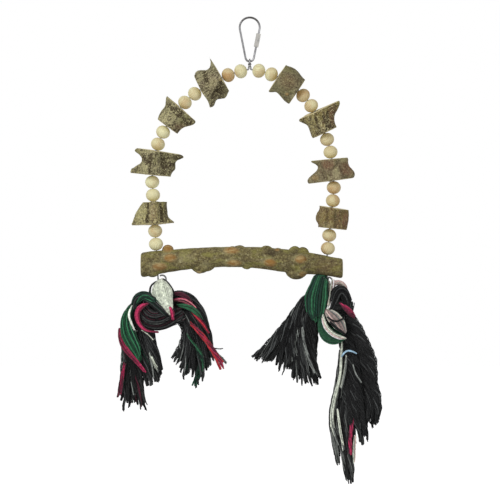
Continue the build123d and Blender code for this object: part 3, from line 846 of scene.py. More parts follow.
def bark_tree():
    """Raises bark plates over fissures, but not on the sawn faces, and keeps what the bark's colour reads."""
    graph, given = new_tree("bark_relief", BARK_INPUTS)
    where = graph.node("GeometryNodeInputPosition")
    facing = graph.node("GeometryNodeInputNormal")
    local = graph.vector("SUBTRACT", where, given["Middle"])
    grain = graph.joined(*(graph.dot(local, given[axis]) for axis in ("Across", "Away", "Along")))
    shift = given["Seed"] * SEED_SHIFT
    drawn = graph.vector("ADD", graph.stretched(grain, (1.0, 1.0, 0.4)), graph.joined(shift, shift, shift))
    faces = []
    for end in ("Upper", "Lower"):
        normal = given[end + " Normal"]
        depth = graph.dot(graph.vector("SUBTRACT", where, given[end + " Point"]), normal)
        near = graph.step(depth, given["Saw Depth"] * -1.0, given["Saw Depth"] * -0.35)
        faces.append(near * graph.step(graph.dot(facing, normal), 0.82, 0.96))
    saw = faces[0].most(faces[1])
    plates = graph.noise(drawn, scale=210, detail=4, roughness=0.55, distortion=0.4)
    cracks = graph.step(graph.cells(drawn, 230, "DISTANCE_TO_EDGE"), 0.0, 0.16)
    grit = graph.noise(drawn, scale=620, detail=3, roughness=0.6)
    relief = graph.step(plates, 0.3, 0.7) * 0.6 + cracks * 0.18 + grit * 0.45 - 0.28
    inward = graph.scaled(facing, -1.0)
    inside = graph.vector("ADD", where, graph.scaled(inward, RAY_START))
    thickness = graph.node("GeometryNodeRaycast", None, {
        "Target Geometry": given["Geometry"], "Source Position": inside, "Ray Direction": inward,
        "Ray Length": given["Thick"]}, "Hit Distance")
    full = graph.step(thickness, given["Thin"], given["Thick"])
    rise = (relief - 0.35) * given["Relief"] * (1 - saw) * full
    geometry = graph.stored(given["Geometry"], "grain", "FLOAT_VECTOR", grain)
    geometry = graph.stored(geometry, "saw", "FLOAT", saw)
    geometry = graph.stored(geometry, "relief", "FLOAT", relief)
    geometry = graph.node("GeometryNodeSetPosition", None, {
        "Geometry": geometry, "Offset": graph.scaled(facing, rise)})
    return close_tree(graph, geometry, given["Material"])


def set_inputs(modifier, values):
    """Sets a geometry tree's named inputs on its modifier."""
    sockets = {item.name: item.identifier for item in modifier.node_group.interface.items_tree
               if item.in_out == "INPUT"}
    for name, value in values.items():
        modifier[sockets[name]] = value


# How sharply a patch ends, how soon it fades round the branch, and the painted highlight up and left of a
# raised scar
PATCH_EDGE = 1.15
SCAR_EDGE = 1.8
PATCH_RIM = 0.3
SIDE_FADE = 4
HIGHLIGHT_RIGHT, HIGHLIGHT_BELOW = -0.3, -0.25
HIGHLIGHT_LEVEL = 0.7


def carve(mesh, branch, scar_rise):
    """Cuts the grooves and paints shade in their creases, tints the patches on the side that each is seen
    from, and draws the pulls out.
    """
    places = points_of(mesh)
    facing = values_of(mesh.vertex_normals, "vector", 3).astype(float)
    across = places[:, 0] / MM + SHEET_U
    down = SHEET_V - places[:, 2] / MM
    barked = 1 - values_of(mesh.attributes["saw"].data, "value")
    relief = values_of(mesh.attributes["relief"].data, "value")
    squarely = np.clip(np.abs(facing[:, 1]) * 2.0 - 0.2, 0, 1)
    sunk = np.zeros(len(places))
    for groove in branch.grooves:
        start = np.array(groove.start)
        run = np.array(groove.end) - start
        away = np.stack([across, down], 1) - start
        share = np.clip(away @ run / (run @ run), 0, 1)
        gap = np.linalg.norm(away - share[:, None] * run, axis=1) / groove.width
        sunk += groove.depth * np.exp(-gap ** 2) * barked * squarely
    # Painted shade in each crease and a little painted light on each rib, written into the relief that the
    # bark's colour reads
    painted_crease_shade = np.clip(sunk, -0.2, 1.5) * 0.5
    set_attribute(mesh, "relief", "FLOAT", relief - painted_crease_shade, "value")
    tints = {kind: np.zeros(len(places)) for kind in TINTS}
    dome = np.zeros(len(places))
    for side, kind, patch in branch.all_patches():
        right = (across - patch.u) / patch.across
        below = (down - patch.v) / patch.down
        gap = np.hypot(right, below)
        seen = np.clip(facing[:, 1] * side * SIDE_FADE + 1, 0, 1) * barked * patch.amount
        edge = PATCH_EDGE
        if kind == "scar":
            edge = SCAR_EDGE
            dome = np.maximum(dome, np.clip(1 - gap ** 2, 0, 1) * seen)
            # Painted highlight on the upper left of a raised scar, kept with the pale patches
            painted_highlight = np.clip(1.9 - 1.3 * np.hypot(right - HIGHLIGHT_RIGHT, below - HIGHLIGHT_BELOW), 0, 1)
            tints["pale"] = np.maximum(tints["pale"], HIGHLIGHT_LEVEL * painted_highlight * seen)
        tints[kind] = np.maximum(tints[kind], np.clip(PATCH_RIM + edge * (1 - gap), 0, 1) * seen)
    for kind, level in tints.items():
        set_attribute(mesh, kind, "FLOAT", level, "value")
    places += facing * (dome * scar_rise - sunk * MM)[:, None]
    for pull in branch.pulls:
        gap = np.hypot(across - pull.start[0], down - pull.start[1]) / pull.reach
        share = np.exp(-gap ** 2) * MM
        places[:, 0] += share * (pull.end[0] - pull.start[0])
        places[:, 2] -= share * (pull.end[1] - pull.start[1])
    mesh.vertices.foreach_set("co", places.astype(np.float32).ravel())


def branch_piece(node, branch, tree, material, settings, step, middle, along, seed):
    """A length of branch: the CAD node's form in a fine mesh, with bark relief, creases and tints."""
    source = joined_copy(node)
    remesh = source.modifiers.new("remesh", "REMESH")
    remesh.mode = "VOXEL"
    remesh.voxel_size = step
    relief = source.modifiers.new("relief", "NODES")
    relief.node_group = tree
    upper, upper_normal = saw_plane(node, along)
    lower, lower_normal = saw_plane(node, -along)
    set_inputs(relief, {
        "Middle": middle, "Along": along, "Away": AWAY, "Across": AWAY.cross(along).normalized(),
        "Upper Point": upper, "Upper Normal": upper_normal,
        "Lower Point": lower, "Lower Normal": lower_normal,
        "Relief": settings.relief * branch.bark.relief, "Saw Depth": SAW_BAND * step,
        "Thin": settings.thin, "Thick": settings.thick, "Seed": float(seed), "Material": material,
    })
    piece = baked(source, node + "_bark")
    carve(piece.data, branch, settings.scar_rise)
    return seat(piece, node)


# Ropes


class Strand(NamedTuple):
    """A bundle of yarns along a route drawn on the sheet, as (u, v, depth) points.

    half_widths are spread evenly along it, and dyes says which share of the yarns has which dye. The yarns
    are twisted together in locks of per_lock each, and a strand of loose yarns has one yarn to a lock.
    """

    name: str
    route: tuple
    half_widths: tuple
    locks: int
    dyes: dict
    flatness: float = 0.5
    per_lock: int = 1
    lock: float = 0.0
    lock_turns: float = 0.0
    twist: float = 0.1
    round: bool = False
    fray: float = 0.0
    fray_start: float = 0.7
    ragged: float = 0.05
    ragged_start: float = 0.0
    edge_cut: float = 0.0
    slant: float = 0.0
    hollow: float = 0.0
    wander: float = 1.0
    contrast: float = 0.4
    thickness: float = 1.0

    @property
    def yarns(self):
        return self.locks * self.per_lock


# A loose end of rope: twisted locks that part and thin out towards their tips
tail = partial(Strand, flatness=0.6, per_lock=10, lock=2.7, lock_turns=2.5, fray=0.12, fray_start=0.55,
               ragged=0.12, hollow=0.3)
# A round, packed run of yarns in a knot
bundle = partial(Strand, flatness=0.95, round=True, hollow=0.6, twist=0.14, contrast=0.3, thickness=0.75)
# A flat run of dyed yarns on the face of a tail, thin where it comes out and where it goes in
ribbon = partial(Strand, flatness=0.55, twist=0.12, ragged=0.14, ragged_start=0.12, contrast=0.6,
                 thickness=1.3)

# The grey share of these dark mixes is partly painted highlight on the black yarn
BLACKS = dict(black=0.66, grey=0.24, dark_green=0.06, ash=0.04)
SOOTS = dict(black=0.74, grey=0.23, ash=0.03)
SHADOWS = dict(black=0.88, grey=0.11, ash=0.01)
WORN = dict(black=0.66, grey=0.26, ash=0.08)
GREENS = dict(green=0.66, dark_green=0.34)
WHITES = dict(white=0.86, pink=0.14)
REDS = dict(red=0.5, magenta=0.26, plum=0.24)
MAGENTAS = dict(magenta=0.72, plum=0.28)
PINKS = dict(pink=0.72, white=0.28)

LEFT_STRANDS = (
    tail("right_tail", ((164, 318, 2), (168, 304, 0), (182, 298, -1), (194, 311, -1), (198, 335, 0),
         (197, 362, 0), (195, 390, 0)), (6, 8, 9.5, 12, 16, 23, 28), 40, BLACKS, edge_cut=0.24, ragged=0.1),
    tail("right_tail_left", ((181, 316, 1), (189, 328, 0), (187, 345, 0), (175, 367, 0)), (4, 4, 4.5, 7),
         10, BLACKS, ragged=0.2),
    tail("left_tail", ((152, 312, 2), (140, 305.5, 0), (129.5, 314, -1), (129.5, 331, -1), (131.5, 352, -1),
         (132.5, 374, 0), (130.5, 413, 0)), (4, 5, 6, 8, 9.5, 12, 17), 32, dict(BLACKS, plum=0.08),
         ragged=0.13, edge_cut=0.04, fray=0.2),
    tail("inner_tail", ((145.5, 324, 1), (146.5, 340, 2), (150.5, 358, 1), (157, 384, 0)),
         (7, 8.5, 9.5, 10.5), 20, BLACKS, lock_turns=1.2, slant=0.14, ragged=0.12),
    tail("inner_white_yarns", ((149, 351, -5), (152, 360, -7), (158, 377, -6)), (0.3, 2.2, 6.5), 6,
         dict(white=0.6, ash=0.4), per_lock=3, lock=0.5, lock_turns=0.5, flatness=0.3, ragged=0.35,
         ragged_start=0.3, thickness=0.8),
    tail("knot_thread", ((142, 330, -13), (149, 333.5, -15), (154, 340, -12)), (0.2, 0.3, 0.4), 1,
         dict(white=1.0), per_lock=2, lock=0.3, thickness=0.8),
    bundle("knot", ((143, 305, -3), (147, 318, -8), (160, 321, -9), (172, 316, -7), (183, 312, -3)),
           (6, 10, 10.5, 9.5, 8), 320, dict(black=0.5, grey=0.42, plum=0.06, ash=0.02), thickness=0.6,
           wander=2.2, contrast=0.6),
    bundle("knot_back", ((176, 306, 2), (172, 317, 8), (156, 320, 9), (142, 315, 7), (139, 304, 2)),
           (8, 10, 11, 10, 7), 120, BLACKS, flatness=0.9, hollow=0.7),
    bundle("turn", ((136, 311, 0), (136, 299.5, -5), (144.5, 295, -10), (155, 301, -14), (164, 310, -14.5),
           (172, 320, -8)), (4.6, 5.2, 5.6, 5.6, 5.4, 4), 130, dict(black=0.42, dark_green=0.22, grey=0.36),
           hollow=0.5, contrast=0.5),
    ribbon("turn_green", ((137, 304, -9), (141, 297, -14), (148, 295.5, -17), (156, 302, -20)),
           (0.8, 2.0, 2.0, 0.5), 14, dict(dark_green=0.85, green=0.15), flatness=0.4),
    ribbon("knot_magenta", ((150, 302.5, -15), (140.5, 305.5, -17), (137, 316, -17.5),
           (142.5, 327.5, -17.5), (151, 331.5, -15.5), (160, 332, -11)), (0.6, 2.4, 2.2, 1.1, 0.4, 0.1), 11,
           MAGENTAS, flatness=0.8),
    bundle("bight", ((162.1, 295, 6), (162.1, 284, 3.3), (162.1, 279.6, 3.3), (162.1, 279.6, -3.3),
           (162.1, 284, -3.3), (162.1, 292, -7)), (2.6, 1.7, 1.5, 1.5, 1.8, 4.0), 26, WHITES, hollow=0.0,
           wander=0.4),
    Strand("white_leaf", ((161.6, 279.8, -5.5), (161.6, 284, -10.5), (162, 291, -14.5), (166, 301, -17.5),
           (169.5, 307, -18.5), (171.5, 315, -16)), (2.8, 7.2, 10.2, 9.8, 7.0, 3.6, 0.4), 190,
           dict(white=1.0), flatness=0.3, twist=0.0, wander=0.6, ragged=0.1, contrast=0.14),
    ribbon("leaf_magenta", ((170, 306, -19), (174.5, 312, -21), (173, 320, -17)), (0.4, 1.8, 0.4), 10,
           MAGENTAS),
    ribbon("neck_black", ((163, 279, -6.5), (167, 282, -7.5), (171.5, 290, -7), (175, 300, -4)),
           (0.6, 1.5, 2.4, 2.4), 16, dict(black=1.0), flatness=0.9),
    ribbon("neck_grey", ((161, 280, -6), (153, 282.5, -7.5), (149.6, 290, -9), (151, 299, -10)),
           (0.3, 0.5, 0.6, 0.5), 3, dict(grey=1.0), flatness=0.9),
    ribbon("tail_green", ((132.5, 305, -3), (126.5, 315, -9), (128, 332, -11.5), (136, 349, -10.5),
           (141, 362, -7)), (1.5, 5.5, 7.4, 6.0, 0.8), 46, GREENS, flatness=0.35, ragged=0.2),
    ribbon("tail_white", ((133, 305, -11), (128.6, 312, -13.5), (131, 321, -14.5), (136, 332, -11)),
           (0.2, 0.9, 0.8, 0.2), 6, dict(white=0.9, ash=0.1), flatness=0.6, thickness=1.0),
    ribbon("tail_magenta", ((119.5, 327, 1), (120.5, 340, -8), (127, 350.5, -12), (136, 360, -12),
           (142.5, 367, -10.5), (147, 374, -7)), (0.8, 2.6, 2.7, 2.1, 1.4, 0.3), 17, MAGENTAS, ragged=0.3),
    tail("tail_magenta_low", ((125, 362, -8), (122.5, 378, -10), (120, 397, -8)), (0.4, 1.6, 2.0), 5,
         dict(magenta=0.5, plum=0.5), per_lock=5, lock=0.9, lock_turns=1.0, ragged_start=0.4),
    ribbon("right_tail_plum", ((172, 294, -5), (179, 293, -9), (187, 297, -9.5), (194, 305, -8)),
           (0.5, 1.8, 1.9, 0.4), 14, dict(plum=0.7, black=0.3)),
    ribbon("right_tail_pink", ((173, 300, -8), (180, 299, -11), (189, 302, -11.5), (197, 310, -9)),
           (0.5, 1.8, 2.2, 0.4), 16, dict(magenta=0.45, plum=0.3, rose=0.25)),
    ribbon("right_tail_green", ((177, 305, -9), (186, 305.5, -12), (196, 310.5, -12), (203, 321, -8)),
           (0.6, 2.8, 2.8, 0.5), 17, GREENS),
    ribbon("right_tail_red_high", ((191, 311, -8), (198, 317.5, -11.5), (205, 326, -11), (209, 334, -7)),
           (0.3, 1.5, 1.6, 0.3), 12, REDS),
    tail("right_tail_red", ((189, 321, -8), (196, 328, -12), (206, 339, -12.5), (213, 350, -12),
         (220, 362, -11), (223.5, 370, -10)), (0.2, 1.2, 1.5, 1.4, 2.2, 3.0), 6, REDS, per_lock=6, lock=1.1,
         lock_turns=2.0, flatness=0.5, ragged_start=0.3),
    ribbon("right_tail_green_line", ((187, 333, -9), (192, 341, -12.5), (199, 348, -12.5), (205, 359, -9)),
           (0.3, 0.8, 0.8, 0.3), 5, dict(green=0.6, ash=0.4)),
    tail("stray_yarn", ((210, 346, -7), (216, 350, -8), (225, 349, -7)), (0.4, 0.5, 0.6), 1, dict(grey=1.0),
         per_lock=3, lock=0.5, thickness=0.8),
    tail("stray_lock", ((210, 347, -6), (219, 355, -7), (229, 365, -6)), (0.5, 0.8, 1.2), 2,
         dict(ash=0.6, grey=0.4), per_lock=4, lock=0.8),
    tail("right_tail_green_low", ((196, 344, -8), (203, 356, -10), (201, 372, -8), (193, 388, -4)),
         (0.6, 2.0, 2.6, 2.4), 5, dict(dark_green=0.7, green=0.3), per_lock=6, lock=1.4),
    ribbon("back_green", ((136, 300, 9), (146, 296, 14), (158, 302, 19), (170, 313, 19), (178, 320, 11)),
           (0.6, 3.0, 4.0, 3.4, 0.6), 30, GREENS, flatness=0.4),
    ribbon("back_white", ((141, 308, 13), (148, 314, 18.5), (157, 322, 20), (165, 329, 15)),
           (0.3, 1.6, 1.6, 0.3), 12, WHITES),
    ribbon("back_tail_red", ((124, 318, 5), (126, 334, 9.5), (133, 350, 9.5), (139, 366, 6)),
           (0.5, 2.6, 2.6, 0.4), 16, REDS),
    ribbon("back_tail_magenta", ((205, 318, 6), (201, 332, 11), (193, 346, 11.5), (187, 362, 7)),
           (0.5, 2.4, 2.4, 0.4), 16, MAGENTAS),
)

RIGHT_STRANDS = (
    tail("left_side_tail", ((323, 291, 2), (310, 299, 0), (297, 317, -1), (280, 341, -1), (259, 364, 0)),
         (5, 6.5, 6.5, 7, 8.5), 24, WORN, flatness=0.55, slant=0.04, ragged=0.12, contrast=0.6),
    tail("left_tail", ((322, 292, 1), (312, 306, -1), (307, 330, -2), (304, 356, -1), (307, 386, 0)),
         (5, 7.5, 10.5, 11, 16), 32, WORN, flatness=0.5, slant=-0.03, ragged=0.12, contrast=0.6),
    tail("left_middle_tail", ((312, 301, 0), (299, 318, 0), (288.5, 344, 0), (283.5, 373, 0)),
         (6, 8, 9, 10), 16, WORN, ragged=0.2, contrast=0.6),
    tail("stray_yarn", ((291, 350, -5), (287, 362, -6), (281, 377, -5)), (0.4, 0.5, 0.6), 1, dict(grey=1.0),
         per_lock=3, lock=0.5, thickness=0.8),
    tail("right_outer_tail", ((339, 301, 0), (345.5, 312, -2), (356.5, 331, -3), (367, 356, -3),
         (369.5, 380, -3), (373, 404, -2), (370, 430, 0)), (3, 3.5, 4.5, 6.5, 5, 8.5, 8), 16, SHADOWS,
         per_lock=16, lock=3.6, lock_turns=4, ragged=0.1),
    tail("right_inner_tail", ((340, 314, 0), (345, 338, -2), (351, 362, -3.5), (352, 388, -4),
         (354, 414, -3), (360, 449, 0)), (4, 5.5, 7, 8, 9, 9), 14, SOOTS, per_lock=16, lock=3.6,
         lock_turns=4, ragged=0.1, slant=0.04),
    tail("right_back_tail", ((335, 298, 3), (345, 322, 4), (356, 356, 4), (358, 392, 3), (358, 430, 2)),
         (7, 9, 13, 16, 17), 22, SHADOWS, lock=3.0, ragged=0.12),
    tail("low_left_tail", ((343, 350, -1), (341, 372, -2), (337.5, 394, -2), (333, 418, -2),
         (336.5, 442, -1), (338.5, 466, 0)), (2, 3, 4, 4.5, 3.5, 2.5), 13,
         dict(black=0.6, grey=0.28, ash=0.12), per_lock=9, lock=1.9),
    tail("low_right_tail", ((350, 386, -1), (344.5, 412, -1.5), (346, 448, -1), (350, 484, 0)),
         (6, 7.5, 6, 4.5), 22, dict(black=0.54, grey=0.36, ash=0.1), per_lock=9, lock=1.8, ragged=0.18),
    bundle("knot", ((321, 320, -4), (325, 333, -7), (334, 335, -7), (342, 327, -4)), (4, 7, 7, 6), 80,
           GREENS),
    bundle("knot_middle", ((318, 300, 0), (324, 312, -2), (336, 316, -2), (347, 308, 0)), (9, 11, 11, 9),
           110, BLACKS),
    bundle("knot_back", ((318, 298, 5), (322, 316, 9), (334, 327, 9), (344, 316, 8), (346, 300, 4)),
           (9, 11, 11.5, 10.5, 8), 120, BLACKS, flatness=0.9, hollow=0.7),
    Strand("green_fall", ((321.5, 287, 5), (322, 277, 2), (320.5, 280, -6), (317, 293, -13),
           (315.5, 306, -15), (316, 322, -11)), (6, 7.5, 9.5, 12.5, 10.5, 2.5), 110,
           dict(green=0.6, dark_green=0.4), flatness=0.4, twist=0.0, hollow=0.3, ragged=0.12, wander=1.2,
           contrast=0.5, thickness=1.3),
    bundle("bight", ((328.5, 297, 6), (328.5, 286.2, 3.3), (328.5, 281.8, 3.3), (328.5, 281.8, -3.3),
           (328.5, 286.2, -3.3), (328.5, 294, -7)), (2.6, 1.7, 1.5, 1.5, 1.8, 3.0), 26, PINKS, hollow=0.0,
           wander=0.4),
    ribbon("pink_fall", ((333, 279.5, -5), (331.5, 289, -12.5), (330, 300, -17), (327, 310, -16.5)),
           (1.0, 1.9, 1.7, 0.6), 14, PINKS, flatness=0.7),
    bundle("pink_arch", ((331.5, 291, -6), (332, 283.2, -6.2), (339, 281.9, -4.6), (345, 286, -5.2),
           (347, 295, -5)), (1.6, 2.6, 2.6, 2.6, 0.8), 36, PINKS, hollow=0.0),
    bundle("black_fall", ((329.5, 309, -14), (333, 297, -15), (338.5, 289, -14.5), (344, 293, -12),
           (347, 305, -9)), (2.2, 5.0, 5.8, 5.8, 5.5), 80, SOOTS, hollow=0.0),
    bundle("black_fill", ((330, 304, -9), (338, 306, -11), (347, 306, -9)), (6, 7.5, 6), 90, SOOTS),
    Strand("lens", ((325, 308.5, -13), (331, 315, -17), (338, 322, -18), (344.5, 333, -14)),
           (2.0, 6.2, 6.4, 1.6), 60, dict(pink=0.55, white=0.2, ash=0.25), flatness=0.5, twist=0.0,
           hollow=0.3, wander=0.6),
    ribbon("lens_slit", ((329, 320.5, -20.5), (334, 326.5, -22), (340, 330.5, -22), (345, 334.5, -18)),
           (0.2, 0.9, 1.0, 0.3), 8, dict(black=1.0), flatness=0.7),
    ribbon("lens_line", ((326.5, 316.5, -19), (332, 320.5, -21.5), (338, 321, -22), (343.5, 317.5, -18)),
           (0.1, 0.4, 0.4, 0.1), 3, dict(black=1.0), flatness=0.7, ragged=0.0, ragged_start=0.0),
    ribbon("white_band", ((322.5, 314, -14), (323.3, 324, -19), (331, 333, -21), (340, 337.3, -18.5),
           (346, 338, -12)), (0.8, 2.0, 2.3, 2.0, 0.6), 22, WHITES, flatness=0.7),
    bundle("green_loop", ((321, 318, -12), (320.3, 331, -16.5), (327.5, 339.5, -18), (337, 340.5, -16),
           (344, 337, -10)), (2.2, 3.6, 4.2, 3.8, 1.6), 56, GREENS, flatness=0.8, hollow=0.3),
    ribbon("magenta_patch", ((338.5, 302, -17.5), (344, 306.5, -19), (350, 312, -18), (355, 318, -13)),
           (0.5, 2.4, 3.0, 0.5), 26, dict(magenta=0.5, plum=0.5), ragged=0.3, ragged_start=0.3,
           thickness=1.0),
    ribbon("white_edge", ((342, 339, -8), (340.5, 354, -9.5), (340.5, 374, -10.5), (334.5, 394, -10),
           (330.6, 414, -8.5), (332.6, 432, -8), (339, 446, -6)), (0.4, 1.0, 1.0, 1.6, 2.0, 1.5, 0.3), 18,
           dict(white=0.62, ash=0.38), flatness=0.6, ragged=0.3),
    ribbon("white_second", ((346, 354, -9), (345.5, 366, -11.5), (343, 377, -12), (340.5, 388, -10)),
           (0.2, 0.9, 0.9, 0.3), 8, dict(white=0.7, ash=0.3), flatness=0.6),
    ribbon("white_third", ((337, 408, -8), (338.5, 422, -9.5), (340.5, 436, -8.5), (344, 452, -6)),
           (0.3, 1.0, 1.0, 0.3), 9, dict(white=0.5, ash=0.5), flatness=0.6),
    tail("low_magenta", ((353, 418, -7), (350.5, 432, -9), (350, 444, -8), (351, 458, -5)),
         (0.6, 1.4, 1.2, 1.0), 5, dict(magenta=0.45, plum=0.55), per_lock=5, lock=1.0),
    ribbon("low_pink", ((355, 432, -7), (354, 442, -9), (353.5, 452, -8), (354, 464, -5)),
           (0.3, 1.2, 1.2, 0.3), 9, PINKS),
    tail("left_grey", ((302, 326, -10), (303.5, 345, -10), (308, 362, -10), (314, 380, -8)),
         (0.6, 1.6, 3.0, 4.5), 7, dict(ash=0.5, grey=0.5), per_lock=3, lock=0.6, flatness=0.4, ragged=0.3,
         ragged_start=0.3),
    ribbon("blue_thread", ((340, 358, -11), (344, 350, -14), (351, 350, -14), (357, 353, -12)),
           (0.2, 0.4, 0.4, 0.2), 2, dict(blue=1.0), flatness=1.0, wander=0.4),
    ribbon("grey_thread", ((352, 362, -12), (354, 372, -14), (359, 379, -13.5), (363, 385, -11)),
           (0.2, 0.4, 0.4, 0.2), 2, dict(ash=1.0), flatness=1.0, wander=0.4),
    ribbon("back_magenta", ((316, 300, 13), (324, 306, 18.5), (334, 314, 21), (343, 322, 16)),
           (0.6, 3.0, 3.2, 0.6), 24, MAGENTAS, flatness=0.4),
    ribbon("back_white", ((321, 314, 15), (328, 322, 20.5), (337, 329, 19), (344, 333, 13)),
           (0.4, 2.2, 2.2, 0.4), 16, WHITES),
    ribbon("back_tail_green", ((352, 330, 11), (349, 346, 15), (352, 364, 15), (360, 382, 11)),
           (0.6, 3.2, 3.2, 0.5), 24, GREENS, flatness=0.4),
    ribbon("back_tail_red", ((305, 318, 6), (301, 334, 10.5), (294, 348, 10.5), (290, 362, 7)),
           (0.5, 2.2, 2.2, 0.4), 14, REDS),
)

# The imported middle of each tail: its route from the wire's end eye
LEFT_CORES = {
    "left_core": ((162.1, 286, 1), (158, 300, 2), (147, 311, 1), (134, 318, 0), (129, 340, 0),
                  (132, 366, 0), (132, 386, 0)),
    "right_core": ((162.5, 286, 1), (166, 298, 2), (177, 302, 1), (190, 311, 0), (197, 336, 0),
                   (196, 362, 0)),
}
RIGHT_CORES = {
    "left_core": ((328.3, 288, 1), (322, 299, 2), (311, 312, 0), (302, 334, 0), (294, 358, 0)),
    "right_core": ((328.7, 288, 1), (337, 300, 2), (347, 318, 0), (355, 348, 0), (357, 382, 0),
                   (348, 420, 0), (347, 462, 0)),
}

YARN_INPUTS = {
    "Int": ("Yarns", "Per Lock", "Points", "Sides", "Seed"),
    "Float": ("Yarn Radius", "Lock Radius", "Lock Turns", "Hollow", "Twist", "Wander", "Fray", "Fray Start",
              "Ragged", "Ragged Start", "Edge Cut", "Slant"),
    "Bool": ("Round",),
    "Material": ("Material",),
}
# How far locks and yarns stray along a strand, and how much more at a frayed end, in shares of the wander
LOCK_STRAY, LOCK_FRAY = 1.6, 7.0
YARN_STRAY, YARN_FRAY = 0.7, 1.6
# How far apart two locks lie in the noise that they stray by, and where the single yarns begin there
STRAY_APART = (0.31, 0.17, 0.23)
FIRST_YARN = 50
# The least share of a yarn that a ragged end leaves, and the least points along a yarn
LEAST_LENGTH = 0.2
LEAST_POINTS = 8
# The share of yarns in their lock's own dye, and how light or dark a lock can be
SHARE_IN_LOCK_DYE = 0.5
LOCK_LIGHTNESS = (0.75, 1.25)
# Points on each stretch of a route's smooth line
ROUTE_STEPS = 16

# Fields of a strand that go to the input of the same name as they are
PLAIN_FIELDS = ("yarns", "per_lock", "lock_turns", "hollow", "twist", "round", "fray", "fray_start", "ragged",
                "ragged_start", "edge_cut", "slant")


def yarn_tree():
    """Lays yarns along a guide line: in locks over its width, straying a little and frayed at the end."""
    graph, given = new_tree("yarn_bundle", YARN_INPUTS)
    guide = graph.node("GeometryNodeMeshToCurve", None, {"Mesh": given["Geometry"]})
    guide = graph.node("GeometryNodeResampleCurve", {"mode": "COUNT"},
                       {"Curve": guide, "Count": given["Points"]})
    yarns = graph.node("GeometryNodeDuplicateElements", {"domain": "SPLINE"},
                       {"Geometry": guide, "Amount": given["Yarns"]})
    geometry = graph.stored(yarns, "yarn", "INT", yarns["Duplicate Index"])
    index = graph.recalled("yarn", "INT")
    half_width = graph.recalled("half_width")
    half_depth = graph.recalled("half_depth")
    factor = graph.node("GeometryNodeSplineParameter", output="Factor")
    per_lock = given["Per Lock"]
    lock = graph.function("FLOOR", index / per_lock)
    member = index - lock * per_lock

    def chance(who, offset, low=0.0, high=1.0):
        return graph.chance(who, given["Seed"] + offset, low, high)

    def strayed(who, amount):
        apart = graph.scaled(STRAY_APART, who)
        shifted = graph.vector("ADD", graph.node("GeometryNodeInputPosition"), apart)
        noise = graph.vector("SUBTRACT", graph.noise(shifted, scale=70, output="Color"), (0.5, 0.5, 0.5))
        return graph.scaled(noise, given["Wander"] * amount)

    tangent = graph.node("GeometryNodeInputTangent")
    flat_side = graph.vector("NORMALIZE", graph.vector("CROSS_PRODUCT", tangent, AWAY))
    side = graph.node("GeometryNodeSwitch", {"input_type": "VECTOR"}, {
        "Switch": given["Round"], "False": flat_side, "True": graph.node("GeometryNodeInputNormal")})
    deep = graph.vector("CROSS_PRODUCT", side, tangent)

    def around(turn, wide, high):
        return graph.vector("ADD", graph.scaled(side, graph.function("COSINE", turn) * wide),
                            graph.scaled(deep, graph.function("SINE", turn) * high))

    # Where each lock lies in the section, from the middle out, and how much of its length is left
    hollow = given["Hollow"] * given["Hollow"]
    reach = (hollow + (1 - hollow) * (lock + 0.5) * per_lock / given["Yarns"]).least(1.0) ** 0.5
    seat_turn = lock * GOLDEN_ANGLE + chance(lock, 2, -0.15, 0.15)
    full_twist = given["Twist"] * math.tau
    at_end = graph.function("COSINE", seat_turn + full_twist) * reach
    left = 1 - given["Ragged"] * chance(lock, 3) - chance(index, 4, 0.0, 0.05)
    left = left - given["Edge Cut"] * graph.function("ABSOLUTE", at_end) - given["Slant"] * at_end
    left = left.most(LEAST_LENGTH).least(1.0)

    # Where each yarn lies: in its lock, twisted with the others, and strayed with the lock and by itself
    frayed = graph.step(factor, given["Fray Start"], 1.0)
    spread = reach * (1 + given["Fray"] * frayed * chance(lock, 1, 0.0, 1.8))
    own_turn = member * GOLDEN_ANGLE + given["Lock Turns"] * math.tau * factor
    own_turn = own_turn + chance(lock, 7, 0.0, math.tau)
    thinned = graph.step(factor / left, low=0.72, high=1.0, bottom=1.0, top=0.35) * chance(lock, 8, 0.75, 1.2)
    own_reach = given["Lock Radius"] * ((member + 0.5) / per_lock) ** 0.5 * thinned
    offset = around(seat_turn + full_twist * factor, spread * half_width, spread * half_depth)
    for move in (
        around(own_turn, own_reach, own_reach),
        strayed(lock, LOCK_STRAY + frayed * LOCK_FRAY),
        strayed(index + FIRST_YARN, YARN_STRAY + frayed * YARN_FRAY),
    ):
        offset = graph.vector("ADD", offset, move)
    geometry = graph.node("GeometryNodeSetPosition", None, {"Geometry": geometry, "Offset": offset})
    begun = given["Ragged Start"] * chance(index, 6)
    geometry = graph.node("GeometryNodeTrimCurve", {"mode": "FACTOR"},
                          {"Curve": geometry, "Start": begun, "End": left})
    walk = graph.node("GeometryNodeSplineParameter", output="Length")
    geometry = graph.stored(geometry, "along", "FLOAT", walk)
    tip = graph.step(walk["Factor"], low=0.88, high=1.0, bottom=1.0, top=0.5)
    thickness = chance(index, 5, 0.75, 1.2) * tip
    geometry = graph.node("GeometryNodeSetCurveRadius", None, {"Curve": geometry, "Radius": thickness})
    section = graph.node("GeometryNodeCurvePrimitiveCircle", {"mode": "RADIUS"},
                         {"Resolution": given["Sides"], "Radius": given["Yarn Radius"]})
    geometry = graph.node("GeometryNodeCurveToMesh", None,
                          {"Curve": geometry, "Profile Curve": section, "Fill Caps": True})
    return close_tree(graph, geometry, given["Material"])


